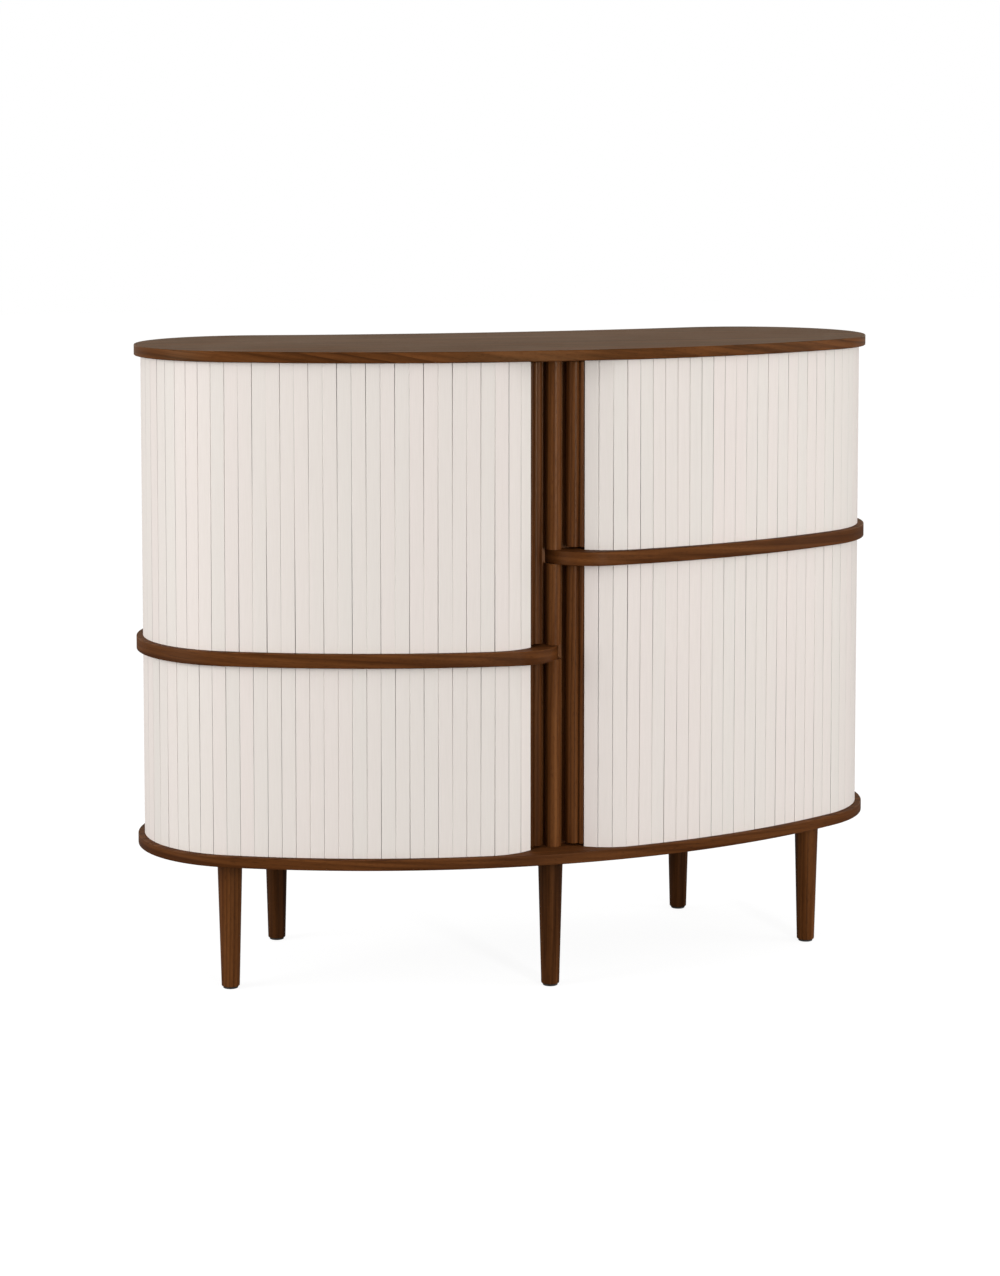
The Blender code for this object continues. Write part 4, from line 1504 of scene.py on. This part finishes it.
    line = made("GeometryNodeMeshToCurve", {"Mesh": given["Path"]})
    flat = made("GeometryNodeCurvePrimitiveQuadrilateral", {"Width": given["Cloth Thickness"],
                                                            "Height": given["Slat Height"]})
    inward = graph.combine(graph.times(given["Cloth Depth"], -1.0), 0.0, 0.0)
    flat = made("GeometryNodeSetPosition", {"Geometry": flat, "Offset": inward})
    cloth = made("GeometryNodeCurveToMesh", {"Curve": line, "Profile Curve": flat, "Fill Caps": True})
    cloth = stored(cloth, "weave", graph.combine(length, 0.0, parts[2]), "FLOAT_VECTOR")
    cloth = stored(cloth, "slat_tone", 0.5)
    # The backing cloth is seen only through the joints and takes the joint colour all over: its own grey and
    # painted shade.
    cloth = stored(cloth, "joint", 1.0)

    size = graph.combine(given["Tenon Width"], given["Tenon Thickness"], given["Tenon Length"])
    cube = made("GeometryNodeMeshCube", {"Size": size})
    lifts = [graph.combine(0.0, 0.0, graph.times(given["Tenon Height"], sign)) for sign in (1.0, -1.0)]
    ends = [made("GeometryNodeTransform", {"Geometry": cube, "Translation": lift}) for lift in lifts]
    tenon = stored(joined(*ends), "is_tenon", True, "BOOLEAN")
    tenons = made("GeometryNodeInstanceOnPoints", {
        "Points": given["Path"], "Selection": attribute("tenon", "BOOLEAN"), "Instance": tenon,
        "Rotation": graph.combine(0.0, 0.0, heading)})

    real = made("GeometryNodeRealizeInstances", {"Geometry": joined(slats, cloth, tenons)})
    covered = made("GeometryNodeSetMaterial", {"Geometry": real, "Material": given["Textile"]})
    done = made("GeometryNodeSetMaterial", {"Geometry": covered, "Material": given["Tenon Wood"],
                                            "Selection": attribute("is_tenon", "BOOLEAN")})
    graph.add("NodeGroupOutput", {0: done})


@dataclass
class Door:
    """One tambour door: its lead moulding and its stretches of slats, each on its own body."""

    plan: Plan
    name: str
    side: Side
    low: float
    high: float
    seed: int
    visible_gap: float = 0.00028
    slat_thickness: float = 0.0079
    squareness: float = 14.0
    width_spread: float = 0.008
    lean_spread: float = 0.0004
    pair_lean: float = 0.0018
    sway: float = 0.008
    sway_length: float = 0.22
    wedge: float = 0.9
    cloth_thickness: float = 0.0006
    head_gap: float = 0.0010
    tenon_width_share: float = 0.6
    tenon_thickness: float = 0.0034
    tenon_length: float = 0.0030
    tenon_root: float = 0.0040
    handle_width: float = 0.0345
    handle_end_gap: float = 0.0040
    handle_base_out: float = 0.0010
    handle_back: float = 0.0080
    ridge: Triple = (0.0010, 0.0080, 0.0035)
    rib: Triple = (0.0110, 0.0235, 0.0090)
    moulding_steps: int = 28
    moulding_edge: Edge = Edge(radius=0.0006, steps=3, support=0.0003)

    def moulding_outline(self) -> list[Vector]:
        """Section of the lead moulding: a thin ridge beside the textile and a rounded main rib.

        Returns:
            Its outline in plan.
        """
        point = self.plan.track_point
        points = [point(-SEAT_GAP, -self.handle_back), point(-SEAT_GAP, self.handle_base_out)]
        for start, width, height in (self.ridge, self.rib):
            for i in range(self.moulding_steps + 1):
                angle = math.pi * i / self.moulding_steps
                along = start + width * (1 - math.cos(angle)) / 2
                points.append(point(-along, self.handle_base_out + height * math.sin(angle)))
        points.append(point(-self.handle_width, -self.handle_back))
        return points[::-1]

    def moulding(self) -> None:
        """Make the lead moulding."""
        name = self.name + "_handle"
        outline = mirrored(self.moulding_outline(), self.side)
        if signed_area(outline) < 0:
            outline.reverse()
        mesh = board(name + "_smooth", outline, self.low + self.handle_end_gap,
                     self.high - self.handle_end_gap, self.moulding_edge)
        # The left moulding takes the darker copy of the upright walnut: painted shade.
        finish = SHADED_LEFT_LEAD_WOOD if self.side is Side.LEFT else UPRIGHT_WOOD
        place_piece(mesh, self.name + "_lead", [name], finish.material())

    def slat_pose(self, first: float) -> tuple[Vector, float]:
        """How a slat stands in plan.

        Args:
            first: Length along the path at which it starts.

        Returns:
            Its middle and its heading.
        """
        pitch = self.plan.pitch
        start, stop = self.plan.track_point(first, 0), self.plan.track_point(first + pitch, 0)
        middle = ((start + stop) / 2 + self.plan.track_point(first + pitch / 2, 0)) / 2
        return middle, math.atan2(stop.y - start.y, stop.x - start.x)

    def path(self, name: str, first_slat: int, slats: int, first_tenon: int | None) -> Object:
        """The path of a stretch of slats, as a chain of points with what the node tree needs to know.

        Args:
            name: Name of the stretch.
            first_slat: Number of its first slat.
            slats: How many slats it has.
            first_tenon: Number of the first slat that has tenons, or None.

        Returns:
            The path as an object at mid-height.
        """
        plan = self.plan
        rows = [(plan.track_point(first_slat * plan.pitch + plan.slat_gap / 2, 0), 0.0,
                 first_slat * plan.pitch, 0.0, 0.0, 0.0, False, False)]
        for number in range(first_slat, first_slat + slats):
            middle, heading = self.slat_pose(number * plan.pitch)
            joined = first_tenon is not None and number >= first_tenon
            along = (number + 0.5) * plan.pitch
            bend = plan.bend(along)
            inner_bend = 1 / plan.track_end if number >= plan.leading_slats - 1 else bend
            rows.append((middle, heading, along, 1.0 if number % 2 else -1.0, bend, inner_bend, True, joined))
        last = (first_slat + slats) * plan.pitch
        rows.append((plan.track_point(last - plan.slat_gap / 2, 0), 0.0, last, 0.0, 0.0, 0.0, False, False))
        if self.side is Side.LEFT:
            rows = [(Vector((-row[0].x, row[0].y)), -row[1], *row[2:]) for row in reversed(rows)]
        middle_height = (self.low + SEAT_GAP + self.high - self.head_gap) / 2
        mesh = bpy.data.meshes.new(name)
        mesh.from_pydata([(row[0].x, row[0].y, middle_height) for row in rows],
                         [(i, i + 1) for i in range(len(rows) - 1)], [])
        columns = (("heading", "FLOAT"), ("length", "FLOAT"), ("pair", "FLOAT"), ("bend", "FLOAT"),
                   ("inner_bend", "FLOAT"), ("slat", "BOOLEAN"), ("tenon", "BOOLEAN"))
        for column, (label, kind) in enumerate(columns, start=1):
            values = mesh.attributes.new(label, kind, "POINT")
            for item, row in zip(values.data, rows):
                item.value = row[column]
        return linked_object(name, mesh)

    def stretch(self, node: str, body: str, first_slat: int, slats: int, first_tenon: int | None) -> None:
        """Make one stretch of slats on its backing cloth.

        Args:
            node: The frame's node that it stands for.
            body: The body that it rides on.
            first_slat: Number of its first slat.
            slats: How many slats it has.
            first_tenon: Number of the first slat that has tenons, or None.
        """
        plan = self.plan
        item = self.path(node + "_covered", first_slat, slats, first_tenon)
        tree = shared_group("tambour_slats", "GeometryNodeTree", fill_tambour)
        modifier = item.modifiers.new("tambour", "NODES")
        modifier.node_group = tree
        height = self.high - self.head_gap - self.low - SEAT_GAP
        values = {"Slat Width": plan.pitch - self.visible_gap, "Slat Thickness": self.slat_thickness,
                  "Slat Height": height, "Cloth Thickness": self.cloth_thickness,
                  "Cloth Depth": (plan.slat_thickness - self.cloth_thickness) / 2,
                  "Tenon Width": plan.pitch * self.tenon_width_share, "Tenon Thickness": self.tenon_thickness,
                  "Tenon Length": self.tenon_length + self.tenon_root,
                  "Tenon Height": height / 2 - (self.tenon_root - self.tenon_length) / 2,
                  "Squareness": self.squareness, "Width Spread": self.width_spread,
                  "Lean Spread": self.lean_spread, "Pair Lean": self.pair_lean, "Sway": self.sway,
                  "Sway Length": self.sway_length, "Sway Seed": float(self.seed), "Wedge": self.wedge,
                  "Seed": self.seed + first_slat,
                  "Textile": TEXTILE.material(), "Tenon Wood": INNER_UPRIGHT_WOOD.material()}
        for socket in tree.interface.items_tree:
            if socket.item_type == "SOCKET" and socket.in_out == "INPUT" and socket.name in values:
                modifier[socket.identifier] = values[socket.name]
        source = item.data
        mesh = evaluated(item)
        bpy.data.meshes.remove(source)
        shape = bmesh.new()
        shape.from_mesh(mesh)
        place_piece(settled(mesh, shape), body, [node], None)

    def build(self) -> None:
        """Make the moulding and every stretch of slats."""
        plan = self.plan
        self.moulding()
        turned_in = math.ceil(plan.turn_length / plan.pitch)
        self.stretch(self.name + "_leading_slats", self.name + "_lead", 0, plan.leading_slats, turned_in)
        starts = range(plan.leading_slats, plan.front_slats, SECTION_SLATS)
        for section, first in enumerate(starts, start=1):
            node = f"{self.name}_turning_slats_{section}"
            self.stretch(node, node, first, SECTION_SLATS, None)
        node = self.name + "_end_slats"
        self.stretch(node, node, plan.front_slats, plan.end_slats, plan.front_slats)


def signed_area(outline: list[Vector]) -> float:
    """Area of a closed outline, positive where it runs anticlockwise."""
    return sum(a.x * b.y - b.x * a.y for a, b in zip(outline[-1:] + outline, outline)) / 2


DOOR_SEEDS = {"upper_left": 101, "lower_left": 211, "upper_right": 307, "lower_right": 401}


@dataclass(frozen=True)
class Lamp:
    """A soft rectangular lamp."""

    name: str
    place: Triple
    power: float
    width: float
    height: float


@dataclass
class Studio:
    """Plain white surroundings with soft light, and the camera at the photograph's place."""

    camera_place: Triple = (-1.46554, -4.81764, 1.40213)
    camera_yaw: float = -0.28921
    camera_pitch: float = 0.08028
    sensor: float = 36.0
    lens: float = 83.141
    shift_y: float = -0.1988
    floor_size: float = 40.0
    floor_tint: Colour = (0.24, 0.24, 0.24)
    floor_roughness: float = 0.9
    floor_glow: float = 0.885
    surroundings: float = 0.55
    reflected_tint: Colour = (0.93, 0.94, 0.80)
    aim: Triple = (0.0, 0.0, 0.6)
    lamps: tuple[Lamp, ...] = (
        Lamp("front_lamp", (0.8, -4.4, 1.15), 87.0, 0.5, 1.8),
        Lamp("left_lamp", (-4.2, -0.4, 1.4), 100.0, 2.4, 2.4),
        Lamp("right_lamp", (4.2, -1.9, 1.4), 52.0, 2.4, 2.4),
    )

    def camera(self) -> None:
        """The camera."""
        data = bpy.data.cameras.new("camera")
        data.sensor_width = self.sensor
        data.lens = self.lens
        data.shift_y = self.shift_y
        item = linked_object("camera", data)
        item.location = self.camera_place
        item.rotation_euler = (math.pi / 2 - self.camera_pitch, 0, self.camera_yaw)
        bpy.context.scene.camera = item

    def hang(self, lamp: Lamp) -> None:
        """Put up a lamp that looks at the cabinet.

        Args:
            lamp: The lamp.
        """
        data = bpy.data.lights.new(lamp.name, "AREA")
        data.shape = "RECTANGLE"
        data.size = lamp.width
        data.size_y = lamp.height
        data.energy = lamp.power
        item = linked_object(lamp.name, data)
        item.location = lamp.place
        item.rotation_euler = (Vector(self.aim) - Vector(lamp.place)).to_track_quat("-Z", "Y").to_euler()

    def floor(self) -> None:
        """The pale floor, which shows a light shadow only."""
        made, graph, shader = new_material("studio_floor")
        graph.feed(shader, {"Base Color": self.floor_tint, "Roughness": self.floor_roughness,
                            "Specular IOR Level": 0.0})
        seen = graph.add("ShaderNodeLightPath").outputs["Is Camera Ray"]
        strength = graph.times(seen, self.floor_glow)
        glow = graph.add("ShaderNodeEmission", {"Color": WHITE, "Strength": strength})
        lifted = graph.add("ShaderNodeAddShader", {0: shader.outputs[0], 1: glow.outputs[0]}).outputs[0]
        graph.feed(made.node_tree.nodes["Material Output"], {"Surface": lifted})
        half = self.floor_size / 2
        corners = [(-half, -half, 0), (half, -half, 0), (half, half, 0), (-half, half, 0)]
        mesh = bpy.data.meshes.new("floor")
        mesh.from_pydata(corners, [], [(0, 1, 2, 3)])
        mesh.materials.append(made)
        item = linked_object("floor", mesh)

    def sky(self) -> None:
        """Even surroundings, white to the camera, dimmer as light and a little warm in reflections."""
        world = bpy.data.worlds.new("studio")
        world.use_nodes = True
        bpy.context.scene.world = world
        graph = Graph(world.node_tree)
        path = graph.add("ShaderNodeLightPath").outputs
        seen = graph.math("MAXIMUM", path["Is Camera Ray"], path["Is Glossy Ray"])
        seen = graph.math("MAXIMUM", seen, path["Is Transmission Ray"])
        level = graph.spread(seen, 0.0, 1.0, self.surroundings, 1.0)
        tint = graph.mix(path["Is Glossy Ray"], WHITE, self.reflected_tint)
        graph.feed(world.node_tree.nodes["Background"], {"Color": tint, "Strength": level})

    def build(self) -> None:
        """Set up the surroundings, the lamps and the camera."""
        self.camera()
        self.floor()
        self.sky()
        for lamp in self.lamps:
            self.hang(lamp)
        bpy.context.scene.view_settings.view_transform = "Standard"


def main() -> None:
    """Build every sub-assembly and the studio round it."""
    logging.basicConfig(level=logging.INFO, format="%(name)s %(message)s")
    plan = Plan()
    legs = Legs(plan)
    Slabs(plan).build(legs.places())
    CentrePost(plan).build()
    Carcass(plan).build()
    legs.build()
    for name, (side, low, high) in plan.compartments.items():
        Door(plan, name + "_door", side, low, high, DOOR_SEEDS[name]).build()
    Studio().build()


if __name__ == "__main__":
    main()
